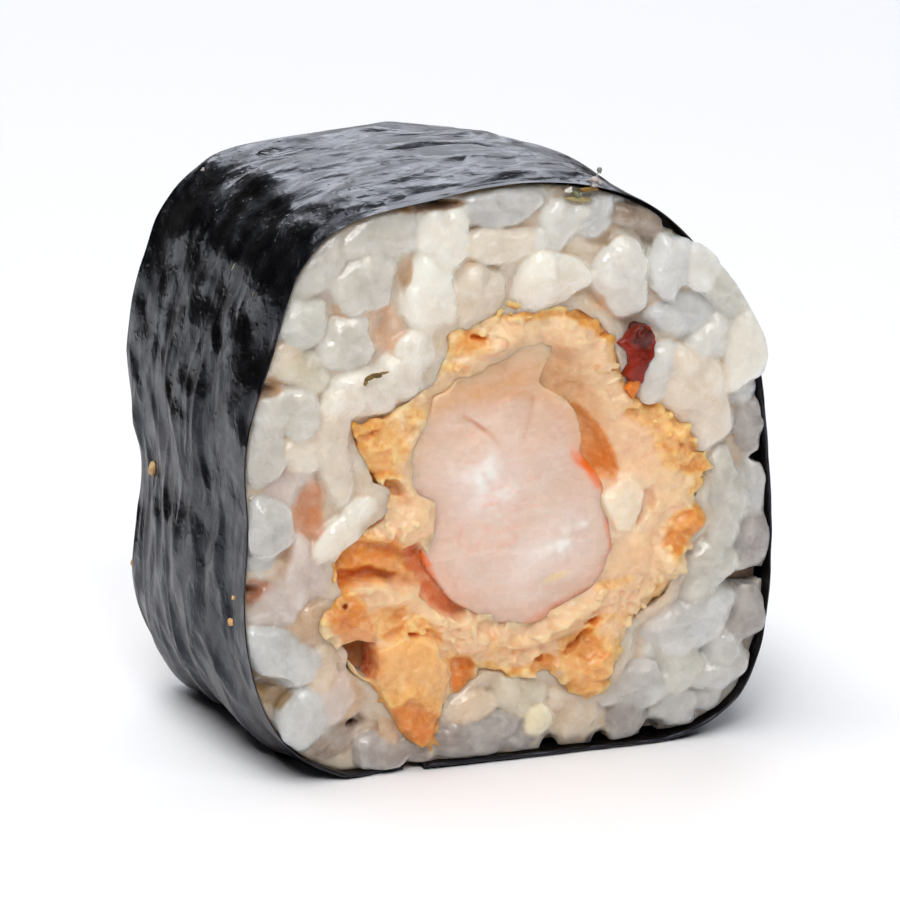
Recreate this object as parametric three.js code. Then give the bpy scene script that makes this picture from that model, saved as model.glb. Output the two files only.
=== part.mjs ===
// One cut piece of tempura hosomaki: a seaweed sheet rolled round sushi rice,
// with a batter-fried shrimp in the middle. It lies on the side of the roll, so
// the two cut faces look along -Y and +Y. Millimetres, +Z up. The origin is the
// centre of the underside.

import * as THREE from 'three';
import { mergeVertices } from 'three/addons/utils/BufferGeometryUtils.js';

// ---- driving dimensions -------------------------------------------------

const WIDTH = 30.0;         // across the roll, over the seaweed
const HEIGHT = 31.0;        // from the underside to the top of the seaweed
const SHEET_LENGTH = 19.35; // along the roll, between the seaweed's two cut edges
const PROUD = 0.95;         // how far the rice stands out past each cut edge, at most
const SHEET = 0.36;         // thickness of the moist seaweed
const GAP = 0.30;           // clear space between one layer and the next

const SEAM_RIGHT = -3.0;    // the seaweed's ends along X: they don't quite meet
const SEAM_LEFT = -6.0;
const END_CURL = 0.10;      // how far the left end lifts from the rice

const CORNER_POWER = 3.46;  // 2 is an ellipse, larger is a squarer roll
const SINK = 0.35;          // how much of the underside is pressed flat

// the roll's unevenness round its outline: order, cosine and sine share of the radius
const PRESSED = [[0, -0.0182, 0], [1, -0.0053, -0.053], [2, -0.0093, -0.0086], [3, 0.0028, -0.0321],
  [4, 0.0081, 0.0002], [5, 0.0007, 0.0155], [6, 0.0041, 0.0071], [7, -0.0063, 0.0061],
  [8, 0.0002, -0.0032], [9, 0.0008, 0.001], [10, -0.0036, -0.0054]];
// how the far end differs from the near one, in millimetres
const TWIST = [[1, -0.21, 0.26], [2, 0.13, -0.23], [3, 0.44, 0.07], [4, -0.09, -0.3]];

// batter ring: centre, mean radius and lobes in millimetres
const BATTER_AT = [0.3, 13.5];
const BATTER_RADIUS = 10.2;
const BATTER_LOBES = [[1, 0.05, -0.35], [2, -0.50, 0.42], [3, 0.70, -0.45], [4, -0.40, 0.12], [5, 0.35, 0.25]];
const BATTER_FAR = [[2, 0.35, -0.3], [3, -0.6, 0.35], [4, 0.3, 0.2]];

// shrimp: centre, mean radius and lobes in millimetres
const SHRIMP_AT = [0.0, 14.2];
const SHRIMP_RADIUS = 6.0;
const SHRIMP_LOBES = [[1, -0.30, 0.0], [2, -1.16, -0.78], [3, 0.13, -0.31], [5, -0.12, 0.1], [7, -0.2, -0.06]];
const SHRIMP_FAR = [[2, 0.2, 0.35], [3, -0.2, 0.25]];

// hollow between shrimp and batter on the upper right: direction, spread, width
const HOLLOW = { at: 0.55, spread: 0.42, wide: 1.1, deep: 1.6 };

// ---- helpers --------------------------------------------------------------

const waves = (list, t) => list.reduce((sum, [k, c, s]) => sum + c * Math.cos(k * t) + s * Math.sin(k * t), 0);
const lerp = THREE.MathUtils.lerp;
const smooth = THREE.MathUtils.smoothstep;

// roll outline before it is brought to WIDTH and HEIGHT; t turns from +X towards +Z, v runs from the near end (0) to the far end (1)
function rawOutline(t, v) {
  const a = WIDTH / 2, b = HEIGHT / 2;
  const power = (Math.abs(Math.cos(t) / a) ** CORNER_POWER + Math.abs(Math.sin(t) / b) ** CORNER_POWER) ** (-1 / CORNER_POWER);
  const free = smooth(Math.sin(t), -0.85, -0.35); // the underside is pressed flat from end to end
  const r = power * (1 + waves(PRESSED, t)) + v * free * waves(TWIST, t);
  return [r * Math.cos(t), b + r * Math.sin(t)];
}

// how far the raw outline reaches: across over the whole roll, up and down at each place along it
const known = new Map();
const reach = (v) => {
  const key = v.toFixed(4);
  if (known.has(key)) return known.get(key);
  const e = { x0: 1e9, x1: -1e9, z0: 1e9, z1: -1e9 };
  for (let i = 0; i < 1440; i++) {
    const [x, z] = rawOutline((i / 1440) * 2 * Math.PI, v);
    e.x0 = Math.min(e.x0, x); e.x1 = Math.max(e.x1, x);
    e.z0 = Math.min(e.z0, z); e.z1 = Math.max(e.z1, z);
  }
  known.set(key, e);
  return e;
};
const nearReach = reach(0), farReach = reach(1);
const left = Math.min(nearReach.x0, farReach.x0), right = Math.max(nearReach.x1, farReach.x1);

function outline(t, v) {
  const [x, z] = rawOutline(t, v);
  const { z0: low, z1: high } = reach(v);
  const across = (x - (left + right) / 2) * WIDTH / (right - left);
  const up = (z - low) * (HEIGHT + SINK) / (high - low) - SINK;
  return [across, Math.max(up, 0)];
}

// the outline moved inwards by a distance, square to itself
function insideOutline(t, v, depth) {
  const d = 0.012;
  const [x0, z0] = outline(t - d, v), [x1, z1] = outline(t + d, v), [x, z] = outline(t, v);
  const n = Math.hypot(x1 - x0, z1 - z0);
  return [x - depth * (z1 - z0) / n, z + depth * (x1 - x0) / n];
}

const batterRadius = (t, v) => BATTER_RADIUS + waves(BATTER_LOBES, t) + v * waves(BATTER_FAR, t);
const shrimpRadius = (t, v) => SHRIMP_RADIUS + waves(SHRIMP_LOBES, t) + v * waves(SHRIMP_FAR, t);
const hollow = (t) => Math.exp(-(((t - HOLLOW.at) / HOLLOW.spread) ** 2));
const around = ([cx, cz], r, t) => [cx + r * Math.cos(t), cz + r * Math.sin(t)];

// grain-sized unevenness of a cut face, between 0 and 1
function grains(x, z) {
  const a = Math.sin(1.21 * x + 0.7 * Math.sin(0.9 * z)) * Math.sin(1.07 * z + 0.6 * Math.sin(1.1 * x + 1.3));
  const b = Math.sin(0.63 * x - 0.52 * z + 1.0) * Math.sin(0.44 * x + 0.71 * z + 2.1);
  return THREE.MathUtils.clamp(0.5 + 0.36 * a + 0.26 * b, 0, 1);
}

// merges the doubled vertices, drops faces that collapsed and turns the faces outwards
function closed(geometry) {
  geometry.deleteAttribute('normal');
  geometry.deleteAttribute('uv');
  const merged = mergeVertices(geometry, 1e-4);
  const p = merged.attributes.position, index = [];
  const old = merged.index.array;
  let volume = 0;
  const a = new THREE.Vector3(), b = new THREE.Vector3(), c = new THREE.Vector3();
  for (let i = 0; i < old.length; i += 3) {
    const [i0, i1, i2] = [old[i], old[i + 1], old[i + 2]];
    if (i0 === i1 || i1 === i2 || i0 === i2) continue;
    index.push(i0, i1, i2);
    a.fromBufferAttribute(p, i0); b.fromBufferAttribute(p, i1); c.fromBufferAttribute(p, i2);
    volume += a.dot(b.cross(c));
  }
  if (volume < 0) for (let i = 0; i < index.length; i += 3) [index[i + 1], index[i + 2]] = [index[i + 2], index[i + 1]];
  merged.setIndex(index);
  merged.computeVertexNormals();
  return merged;
}

// A ring about the roll's axis. Its section is a closed profile of r (0 inside, 1 outside) and y (-1 near, 1 far);
// place(t, r, y) puts each point where it lies.
function ring(turns, faceSteps, sideSteps, place) {
  const profile = [];
  for (let i = 0; i < faceSteps; i++) profile.push(new THREE.Vector2(1 + i / faceSteps, -1));
  for (let i = 0; i < sideSteps; i++) profile.push(new THREE.Vector2(2, -1 + 2 * i / sideSteps));
  for (let i = 0; i < faceSteps; i++) profile.push(new THREE.Vector2(2 - i / faceSteps, 1));
  for (let i = 0; i < sideSteps; i++) profile.push(new THREE.Vector2(1, 1 - 2 * i / sideSteps));
  profile.push(profile[0].clone());
  return shaped(new THREE.LatheGeometry(profile, turns), (t, r, y) => place(t, r - 1, y));
}

// A disc-ended plug about the roll's axis, with r from 0 on the axis to 1.
function plug(turns, faceSteps, sideSteps, place) {
  const profile = [];
  for (let i = 0; i < faceSteps; i++) profile.push(new THREE.Vector2(i / faceSteps, -1));
  for (let i = 0; i < sideSteps; i++) profile.push(new THREE.Vector2(1, -1 + 2 * i / sideSteps));
  for (let i = 0; i <= faceSteps; i++) profile.push(new THREE.Vector2(1 - i / faceSteps, 1));
  profile[profile.length - 1].x = 0;
  return shaped(new THREE.LatheGeometry(profile, turns), place);
}

function shaped(lathe, place) {
  const p = lathe.attributes.position;
  for (let i = 0; i < p.count; i++) {
    const x = p.getX(i), y = p.getY(i), z = p.getZ(i);
    const r = Math.hypot(x, z);
    const t = r < 1e-6 ? 0 : Math.atan2(z, x);
    const [px, py, pz] = place(t < -1e-7 ? t + 2 * Math.PI : Math.max(t, 0), r < 1e-6 ? 0 : r, y);
    p.setXYZ(i, px, py, pz);
  }
  return closed(lathe);
}

// ---- seaweed: one flat sheet, bent round the roll into a C ------------------

function seaweed() {
  const tRight = Math.atan2(-HEIGHT / 2, SEAM_RIGHT);
  const tLeft = Math.atan2(-HEIGHT / 2, SEAM_LEFT) + 2 * Math.PI;
  // share of the sheet's length -> angle, so that the steps along the sheet are even
  const table = [[0, tRight]];
  let length = 0, last = outline(tRight, 0.5);
  for (let i = 1; i <= 900; i++) {
    const t = lerp(tRight, tLeft, i / 900), here = outline(t, 0.5);
    length += Math.hypot(here[0] - last[0], here[1] - last[1]);
    table.push([length, t]);
    last = here;
  }
  const angleAt = (share) => {
    const want = share * length;
    let i = 1;
    while (i < table.length - 1 && table[i][0] < want) i++;
    const [l0, t0] = table[i - 1], [l1, t1] = table[i];
    return lerp(t0, t1, (want - l0) / (l1 - l0));
  };
  const sheet = new THREE.BoxGeometry(length, SHEET_LENGTH, SHEET, 116, 5, 1);
  const p = sheet.attributes.position;
  for (let i = 0; i < p.count; i++) {
    const share = THREE.MathUtils.clamp(p.getX(i) / length + 0.5, 0, 1);
    const v = p.getY(i) / SHEET_LENGTH + 0.5;
    const depth = SHEET / 2 - p.getZ(i);
    const [x, z] = insideOutline(angleAt(share), v, depth);
    const curl = depth > SHEET / 2 ? END_CURL * smooth(share, 0.985, 1) : 0; // the left end is thinned where it dried
    p.setXYZ(i, x, (v - 0.5) * SHEET_LENGTH, z - curl);
  }
  return closed(sheet);
}

// ---- rice: one mass out to its uneven outline -------------------------------

function rice() {
  return ring(80, 7, 3, (t, r, y) => {
    const v = (y + 1) / 2;
    const bump = 0.30 * (0.5 + 0.5 * Math.sin(23 * t + 3.1 * y) * Math.sin(9 * t + 1.3));
    const outer = insideOutline(t, v, SHEET + GAP + bump);
    const inner = around(BATTER_AT, batterRadius(t, v) + GAP * 1.45, t);
    const x = lerp(inner[0], outer[0], r), z = lerp(inner[1], outer[1], r);
    if (Math.abs(y) < 0.999) return [x, y * SHEET_LENGTH / 2, z];
    // the mass stands out least where it meets the seaweed, and more towards the right
    const edge = smooth(1 - r, 0, 0.22), lean = y < 0 ? smooth(x, -13, 11) : smooth(-x, -13, 11);
    const lift = (0.15 + 0.85 * edge) * (0.10 + 0.35 * lean + 0.55 * grains(x + 9 * v, z));
    return [x, Math.sign(y) * (SHEET_LENGTH / 2 + PROUD * lift), z];
  });
}

// ---- batter: the fried coat round the shrimp --------------------------------

function batter() {
  return ring(72, 5, 4, (t, r, y) => {
    const v = (y + 1) / 2;
    const outer = around(BATTER_AT, batterRadius(t, v), t);
    const open = HOLLOW.wide * hollow(t) * smooth(Math.abs(y), 0.5, 1);
    const inner = around(SHRIMP_AT, shrimpRadius(t, v) + GAP * 1.5 + open, t);
    const x = lerp(inner[0], outer[0], r), z = lerp(inner[1], outer[1], r);
    if (Math.abs(y) < 0.999) return [x, y * SHEET_LENGTH / 2, z];
    const crust = 0.55 * grains(1.5 * x + 3, 1.5 * z + 11 * v) - 0.25 * Math.abs(2 * r - 1);
    const dip = HOLLOW.deep * hollow(t) * smooth(1 - r, 0.35, 1);
    return [x, Math.sign(y) * (SHEET_LENGTH / 2 + crust - dip), z];
  });
}

// ---- shrimp: runs through the middle ----------------------------------------

function shrimp() {
  return plug(52, 5, 3, (t, r, y) => {
    const v = (y + 1) / 2;
    const [x, z] = around(SHRIMP_AT, r * shrimpRadius(t, v), t);
    if (Math.abs(y) < 0.999) return [x, y * SHEET_LENGTH / 2, z];
    const crown = 0.55 * (1 - r ** 4);
    // two creases meet below the top and leave a wedge of flesh between them
    const crease = 0.3 * Math.exp(-(((Math.abs(x + 0.2) - 0.38 * (z - 17)) / 0.55) ** 2)) * smooth(z, 16.5, 18);
    return [x, Math.sign(y) * (SHEET_LENGTH / 2 - 0.1 + crown - crease), z];
  });
}

// ---- the piece --------------------------------------------------------------

function named(name, geometry, colour, roughness) {
  const mesh = new THREE.Mesh(geometry, new THREE.MeshStandardMaterial({ color: colour, roughness, metalness: 0 }));
  mesh.name = name;
  return mesh;
}

const group = new THREE.Group();
group.add(named('nori', seaweed(), 0x16181c, 0.38));
group.add(named('rice', rice(), 0xd9d6cf, 0.35));
group.add(named('tempura_batter', batter(), 0xe6bd7d, 0.5));
group.add(named('shrimp', shrimp(), 0xe3c3b6, 0.3));

export default group;
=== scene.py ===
# Looks of the tempura hosomaki piece. Shapes are worked out in millimetres and turned into metres when a mesh is made.
import math
import bpy
import numpy as np
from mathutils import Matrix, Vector


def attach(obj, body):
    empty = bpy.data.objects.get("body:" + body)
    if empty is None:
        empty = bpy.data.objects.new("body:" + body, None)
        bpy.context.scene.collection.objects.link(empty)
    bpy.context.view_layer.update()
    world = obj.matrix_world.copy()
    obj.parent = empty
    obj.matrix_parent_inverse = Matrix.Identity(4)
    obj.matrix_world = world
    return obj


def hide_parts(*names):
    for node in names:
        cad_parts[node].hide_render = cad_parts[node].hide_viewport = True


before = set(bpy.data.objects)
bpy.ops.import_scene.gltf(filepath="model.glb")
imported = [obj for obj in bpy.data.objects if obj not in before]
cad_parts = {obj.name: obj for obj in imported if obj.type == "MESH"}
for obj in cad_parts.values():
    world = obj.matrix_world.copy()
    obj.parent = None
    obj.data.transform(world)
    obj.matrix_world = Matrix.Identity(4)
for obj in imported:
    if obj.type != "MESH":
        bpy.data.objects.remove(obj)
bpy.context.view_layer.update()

F = np.float32
MM = 0.001

# ---- the roll's outline, as in the CAD ---------------------------------------

WIDTH, HEIGHT, SHEET_LENGTH = 30.0, 31.0, 19.35
SHEET = 0.27  # the seaweed here, a little thinner than the CAD solid
SEAM_RIGHT, SEAM_LEFT = -5.0, -6.0
CORNER_POWER, SINK = 3.46, 0.35
RIM = SHEET_LENGTH / 2
PRESSED = [(0, -0.0182, 0), (1, -0.0053, -0.053), (2, -0.0093, -0.0086), (3, 0.0028, -0.0321), (4, 0.0081, 0.0002),
           (5, 0.0007, 0.0155), (6, 0.0041, 0.0071), (7, -0.0063, 0.0061), (8, 0.0002, -0.0032), (9, 0.0008, 0.001),
           (10, -0.0036, -0.0054)]
BULGE = np.array([[0.31, -0.04, -0.01, 0.01, -0.2, -0.11, -0.02, -0.01, 0.07, -0.01, 0, 0, -0.01, 0.16, 0.06, 0.03, 0.06, 0.16, 0.34, 0.34],
                  [0.09, 0.16, 0.3, 0.57, 0.13, -0.08, 0.05, 0.01, 0.28, 0.03, 0.03, 0, -0.1, 0.43, 0.24, 0.12, 0.07, 0.04, 0.04, 0.05]])
TWIST = [(1, -0.21, 0.26), (2, 0.13, -0.23), (3, 0.44, 0.07), (4, -0.09, -0.3)]


def waves(terms, t):
    return sum(c * np.cos(k * t) + s * np.sin(k * t) for k, c, s in terms)


def smooth(x, a, b):
    u = np.clip((x - a) / (b - a), 0, 1)
    return u * u * (3 - 2 * u)


def raw_outline(t, v):
    a, b = WIDTH / 2, HEIGHT / 2
    power = (np.abs(np.cos(t) / a) ** CORNER_POWER + np.abs(np.sin(t) / b) ** CORNER_POWER) ** (-1 / CORNER_POWER)
    r = power * (1 + waves(PRESSED, t)) + v * smooth(np.sin(t), -0.85, -0.35) * waves(TWIST, t)
    return r * np.cos(t), b + r * np.sin(t)


_t = np.arange(1440) / 1440 * 2 * np.pi
_v = np.linspace(0, 1, 41)
_reach = np.array([[f(c) for c in raw_outline(_t, v) for f in (np.min, np.max)] for v in _v])
_left, _right = min(_reach[0, 0], _reach[-1, 0]), max(_reach[0, 1], _reach[-1, 1])


def outline(t, v):
    """Outer side of the seaweed at angle t (from +X towards +Z) and share v of the way from the near cut to the far one."""
    t, v = np.broadcast_arrays(np.asarray(t, float), np.asarray(v, float))
    x, z = raw_outline(t, v)
    low, high = np.interp(v, _v, _reach[:, 2]), np.interp(v, _v, _reach[:, 3])
    across = (x - (_left + _right) / 2) * WIDTH / (_right - _left)
    up = (z - low) * (HEIGHT + SINK) / (high - low) - SINK
    turned = (np.degrees(t) - 120 + 180) % 360 - 180
    push = -0.36 * np.clip(v, 0, 1) * np.exp(-(turned / 24) ** 2)
    turned = (np.degrees(t)[..., None] - np.arange(20) * 18 + 180) % 360 - 180
    share = np.exp(-(turned / 13.5) ** 2)
    share = share / share.sum(-1, keepdims=True)
    push = push + (share @ BULGE[0] + (share @ BULGE[1]) * np.clip(v, 0, 1)) * np.clip((up - 0.2) / 2, 0, 1)
    return across + push * np.cos(t), np.maximum(up + push * np.sin(t), 0)


def inside_outline(t, v, depth):
    d = 0.012
    x0, z0 = outline(t - d, v)
    x1, z1 = outline(t + d, v)
    x, z = outline(t, v)
    n = np.hypot(x1 - x0, z1 - z0)
    return x - depth * (z1 - z0) / n, z + depth * (x1 - x0) / n


# ---- noise ----------------------------------------------------------------------

def _weights(xs, scale, seed_shift):
    """Cubic B-spline weights of a coarse lattice for the places xs."""
    u = (np.asarray(xs, float) + seed_shift) / scale
    base = math.floor(u.min()) - 1
    n = math.ceil(u.max()) - base + 4
    i = np.floor(u).astype(int)
    f = u - i
    w = np.zeros((len(u), n))
    for o, c in ((-1, (1 - f) ** 3 / 6), (0, (3 * f ** 3 - 6 * f ** 2 + 4) / 6),
                 (1, (-3 * f ** 3 + 3 * f ** 2 + 3 * f + 1) / 6), (2, f ** 3 / 6)):
        w[np.arange(len(u)), i + o - base] += c
    return w.astype(F)


def grid_noise(axes, scale, seed):
    """Smooth noise of about -1 to 1 on a grid; scale is one number or one for each axis, in millimetres."""
    rng = np.random.default_rng(seed)
    scale = (scale,) * 3 if np.isscalar(scale) else scale
    wx, wy, wz = (_weights(a, s, 100.0) for a, s in zip(axes, scale))
    lattice = rng.uniform(-1, 1, (wx.shape[1], wy.shape[1], wz.shape[1])).astype(F)
    a = np.tensordot(wx, lattice, (1, 0))
    a = np.einsum("xyz,jy->xjz", a, wy, optimize=True)
    a = np.einsum("xyz,kz->xyk", a, wz, optimize=True)
    return a * F(2.6)


def grid_fbm(axes, scale, seed, octaves=3, gain=0.5):
    total, amp = 0, 1.0
    for o in range(octaves):
        s = tuple(v / 2 ** o for v in ((scale,) * 3 if np.isscalar(scale) else scale))
        total = total + F(amp) * grid_noise(axes, s, seed + 17 * o)
        amp *= gain
    return total


def point_noise(p, scale, seed):
    """The same kind of noise at scattered points, p being N by 3."""
    rng = np.random.default_rng(seed)
    u = p / np.asarray(scale, float) + 50.0
    i = np.floor(u).astype(int)
    low = i.min(0) - 1
    size = i.max(0) - low + 4
    lattice = rng.uniform(-1, 1, size)
    f = u - i
    i = i - low
    w = [[(1 - f[:, a]) ** 3 / 6, (3 * f[:, a] ** 3 - 6 * f[:, a] ** 2 + 4) / 6,
          (-3 * f[:, a] ** 3 + 3 * f[:, a] ** 2 + 3 * f[:, a] + 1) / 6, f[:, a] ** 3 / 6] for a in range(3)]
    out = np.zeros(len(p))
    for a in range(4):
        for b in range(4):
            row = 0
            for c in range(4):
                row = row + w[2][c] * lattice[i[:, 0] + a - 1, i[:, 1] + b - 1, i[:, 2] + c - 1]
            out += w[0][a] * w[1][b] * row
    return out * 2.6


# ---- solids as distance fields on a grid -------------------------------------------

def smin(a, b, k):
    h = np.clip(0.5 + 0.5 * (b - a) / k, 0, 1)
    return b + (a - b) * h - k * h * (1 - h)


def smax(a, b, k):
    return -smin(-a, -b, k)


def spread(*runs):
    """Grid places from runs of (from, to, step), each joined to the next."""
    out = []
    for a, b, step in runs:
        n = max(1, round((b - a) / step))
        out.append(np.linspace(a, b, n, endpoint=False))
    return np.r_[np.concatenate(out), runs[-1][1]].astype(F)


class Field:
    def __init__(self, xs, ys, zs):
        self.axes = (xs, ys, zs)
        self.phi = np.full((len(xs), len(ys), len(zs)), 3.0, F)
        self.owner = np.full(self.phi.shape, -1, np.int16)

    def mesh(self):
        """X, Y, Z broadcastable to the grid."""
        x, y, z = self.axes
        return x[:, None, None], y[None, :, None], z[None, None, :]

    def window(self, low, high):
        return tuple(slice(max(0, int(np.searchsorted(a, l)) - 1), min(len(a), int(np.searchsorted(a, h)) + 2))
                     for a, l, h in zip(self.axes, low, high))

    def local(self, w, centre):
        return (self.axes[0][w[0]][:, None, None] - F(centre[0]), self.axes[1][w[1]][None, :, None] - F(centre[1]),
                self.axes[2][w[2]][None, None, :] - F(centre[2]))


def turn(angle, tilt=0.0, roll=0.0):
    """Rows are a grain's long, wide and deep directions. angle turns the long one in the cut face, tilt dips it along +Y."""
    a, t, r = map(math.radians, (angle, tilt, roll))
    long = np.array([math.cos(a) * math.cos(t), math.sin(t), math.sin(a) * math.cos(t)])
    wide = np.array([-math.sin(a), 0, math.cos(a)])
    deep = np.cross(long, wide)
    return np.array([long, wide * math.cos(r) + deep * math.sin(r), deep * math.cos(r) - wide * math.sin(r)])


def grain_distance(p, axes, half, bend=0.0, taper=0.0, blunt=2.5, corners=(0, 0, 0, 0)):
    u = p[0] * F(axes[0, 0]) + p[1] * F(axes[0, 1]) + p[2] * F(axes[0, 2])
    v = p[0] * F(axes[1, 0]) + p[1] * F(axes[1, 1]) + p[2] * F(axes[1, 2])
    w = p[0] * F(axes[2, 0]) + p[1] * F(axes[2, 1]) + p[2] * F(axes[2, 2])
    a, b, c = map(F, half)
    v = v + F(bend) * (u / a) ** 2 * b
    s = 1 - F(taper) * np.clip(u / a, -1.2, 1.2)
    length = np.sqrt(u * u + v * v + w * w) + F(1e-6)
    k = (np.abs(u / a) ** F(blunt) + (np.sqrt((v / (b * s)) ** 2 + (w / (c * s)) ** 2)) ** F(blunt)) ** F(1 / blunt) + F(1e-6)
    around = np.arctan2(v / b, u / a)
    k = k * (1 + F(corners[0]) * np.cos(3 * around + F(corners[2])) + F(corners[1]) * np.cos(5 * around + F(corners[3])))
    return length * (1 - 1 / k)


def surface(field, level=0.0):
    """Surface nets: vertices inside the cells the surface passes through, and four-sided faces turned outwards."""
    phi = field.phi
    xs, ys, zs = field.axes
    inside = phi < level
    n = np.zeros(tuple(s - 1 for s in phi.shape), np.uint8)
    for a in (0, 1):
        for b in (0, 1):
            for c in (0, 1):
                n += inside[a:phi.shape[0] - 1 + a, b:phi.shape[1] - 1 + b, c:phi.shape[2] - 1 + c]
    cells = np.argwhere((n > 0) & (n < 8))
    number = np.full(n.shape, -1, np.int32)
    number[tuple(cells.T)] = np.arange(len(cells))
    i, j, k = cells.T
    corner = {(a, b, c): phi[i + a, j + b, k + c].astype(float) - level for a in (0, 1) for b in (0, 1) for c in (0, 1)}
    px, py, pz = (np.stack([g[q], g[q + 1]]).astype(float) for g, q in ((xs, i), (ys, j), (zs, k)))
    total, count = np.zeros((len(cells), 3)), np.zeros(len(cells))
    keys = list(corner)
    for one in keys:
        for axis in range(3):
            if one[axis]:
                continue
            two = tuple(1 if q == axis else one[q] for q in range(3))
            f0, f1 = corner[one], corner[two]
            cross = (f0 < 0) != (f1 < 0)
            t = np.where(cross, f0 / np.where(cross, f0 - f1, 1), 0)
            at0 = np.stack([px[one[0]], py[one[1]], pz[one[2]]], 1)
            at1 = np.stack([px[two[0]], py[two[1]], pz[two[2]]], 1)
            total += np.where(cross[:, None], at0 + (at1 - at0) * t[:, None], 0)
            count += cross
    verts = total / count[:, None]
    quads = []
    for axis in range(3):
        lo = [slice(None)] * 3
        hi = [slice(None)] * 3
        lo[axis], hi[axis] = slice(0, -1), slice(1, None)
        a, b = inside[tuple(lo)], inside[tuple(hi)]
        e = np.argwhere(a != b)
        o1, o2 = [q for q in range(3) if q != axis]
        e = e[(e[:, o1] > 0) & (e[:, o2] > 0) & (e[:, o1] < phi.shape[o1] - 1) & (e[:, o2] < phi.shape[o2] - 1)]
        flip = a[tuple(e.T)]
        d1, d2 = np.zeros(3, int), np.zeros(3, int)
        d1[o1], d2[o2] = 1, 1
        q = [number[tuple((e - s).T)] for s in (d1 + d2, d2, 0 * d1, d1)]
        q = np.stack(q, 1)
        if axis == 1:
            flip = ~flip
        q = np.where(flip[:, None], q, q[:, ::-1])
        quads.append(q)
    return verts, np.concatenate(quads), cells


def largest(verts, quads, keep_over=0.02):
    """Drops loose specks: bodies with under keep_over of the largest one's vertices."""
    label = np.arange(len(verts))
    e = np.concatenate([quads[:, [0, 1]], quads[:, [1, 2]], quads[:, [2, 3]], quads[:, [3, 0]]])
    while True:
        old = label.copy()
        m = np.minimum(label[e[:, 0]], label[e[:, 1]])
        np.minimum.at(label, e[:, 0], m)
        np.minimum.at(label, e[:, 1], m)
        for _ in range(4):
            label = label[label]
        if (label == old).all():
            break
    count = np.bincount(label, minlength=len(verts))
    keep = count[label] > keep_over * count.max()
    order = np.cumsum(keep) - 1
    good = keep[quads].all(1)
    return verts[keep], order[quads[good]], keep


def relax(verts, quads, rounds=2, share=0.5):
    e = np.concatenate([quads[:, [0, 1]], quads[:, [1, 2]], quads[:, [2, 3]], quads[:, [3, 0]]])
    n = len(verts)
    deg = np.bincount(e.ravel(), minlength=n).astype(float)[:, None]
    for s in [share, -share * 1.06] * rounds:
        total = np.stack([np.bincount(e[:, 0], verts[e[:, 1], c], n) + np.bincount(e[:, 1], verts[e[:, 0], c], n) for c in range(3)], 1)
        verts = verts + s * (total / deg - verts)
    return verts


def sample(field, array, verts):
    """Trilinear look-up of a grid array at points."""
    out = 0
    idx, frac = [], []
    for a in range(3):
        g = field.axes[a]
        i = np.clip(np.searchsorted(g, verts[:, a]) - 1, 0, len(g) - 2)
        idx.append(i)
        frac.append(np.clip((verts[:, a] - g[i]) / (g[i + 1] - g[i]), 0, 1))
    for a in (0, 1):
        for b in (0, 1):
            for c in (0, 1):
                w = (frac[0] if a else 1 - frac[0]) * (frac[1] if b else 1 - frac[1]) * (frac[2] if c else 1 - frac[2])
                out = out + w * array[idx[0] + a, idx[1] + b, idx[2] + c]
    return out


def polygon_distance(points, X, Z):
    """Signed distance to a closed polygon in the cut face, negative inside."""
    P = np.asarray(points, float)
    best = np.full(X.shape, 1e9)
    inside = np.zeros(X.shape, bool)
    for (x0, z0), (x1, z1) in zip(P, np.roll(P, -1, 0)):
        dx, dz = x1 - x0, z1 - z0
        t = np.clip(((X - x0) * dx + (Z - z0) * dz) / (dx * dx + dz * dz), 0, 1)
        best = np.minimum(best, np.hypot(X - x0 - t * dx, Z - z0 - t * dz))
        cross = ((z0 > Z) != (z1 > Z)) & (X < dx * (Z - z0) / (dz if dz else 1e-12) + x0)
        inside ^= cross
    return np.where(inside, -best, best).astype(F)


def blur(a, times=1):
    """A small blur in the cut face, for a 2-D array."""
    for _ in range(times):
        for axis in (0, 1):
            p = np.concatenate([np.take(a, [0], axis), a, np.take(a, [-1], axis)], axis)
            n = a.shape[axis]
            a = (np.take(p, range(0, n), axis) + 2 * a + np.take(p, range(2, n + 2), axis)) / 4
    return a


def thin(verts, quads, where, cell):
    """Merges the vertices of hidden places on a coarser lattice. Returns vertices, faces, and which old vertex each new one came from."""
    index = np.arange(len(verts))
    spots = np.flatnonzero(where)
    _, first, back = np.unique(np.floor(verts[spots] / cell).astype(np.int64), axis=0, return_index=True, return_inverse=True)
    back = back.ravel()
    index[spots] = spots[first][back]
    count = np.bincount(back).astype(float)
    verts = verts.copy()
    verts[spots[first]] = np.stack([np.bincount(back, verts[spots, c]) / count for c in range(3)], 1)
    q = index[quads]
    same = np.stack([q[:, 0] == q[:, 1], q[:, 1] == q[:, 2], q[:, 2] == q[:, 3], q[:, 3] == q[:, 0]], 1)
    cross = (q[:, 0] == q[:, 2]) | (q[:, 1] == q[:, 3])
    whole = q[(same.sum(1) == 0) & ~cross]
    one = (same.sum(1) == 1) & ~cross
    t = q[one]
    drop = same[one].argmax(1)
    three = np.stack([t[np.arange(len(t)), (drop + k) % 4] for k in (1, 2, 3)], 1)
    key = np.sort(three, 1)
    _, first, count = np.unique(key, axis=0, return_index=True, return_counts=True)
    three = three[first[count == 1]]
    used = np.zeros(len(verts), bool)
    used[whole.ravel()] = True
    used[three.ravel()] = True
    order = np.cumsum(used) - 1
    faces = order[whole].tolist() + order[three].tolist()
    return verts[used], faces, np.flatnonzero(used)


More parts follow.
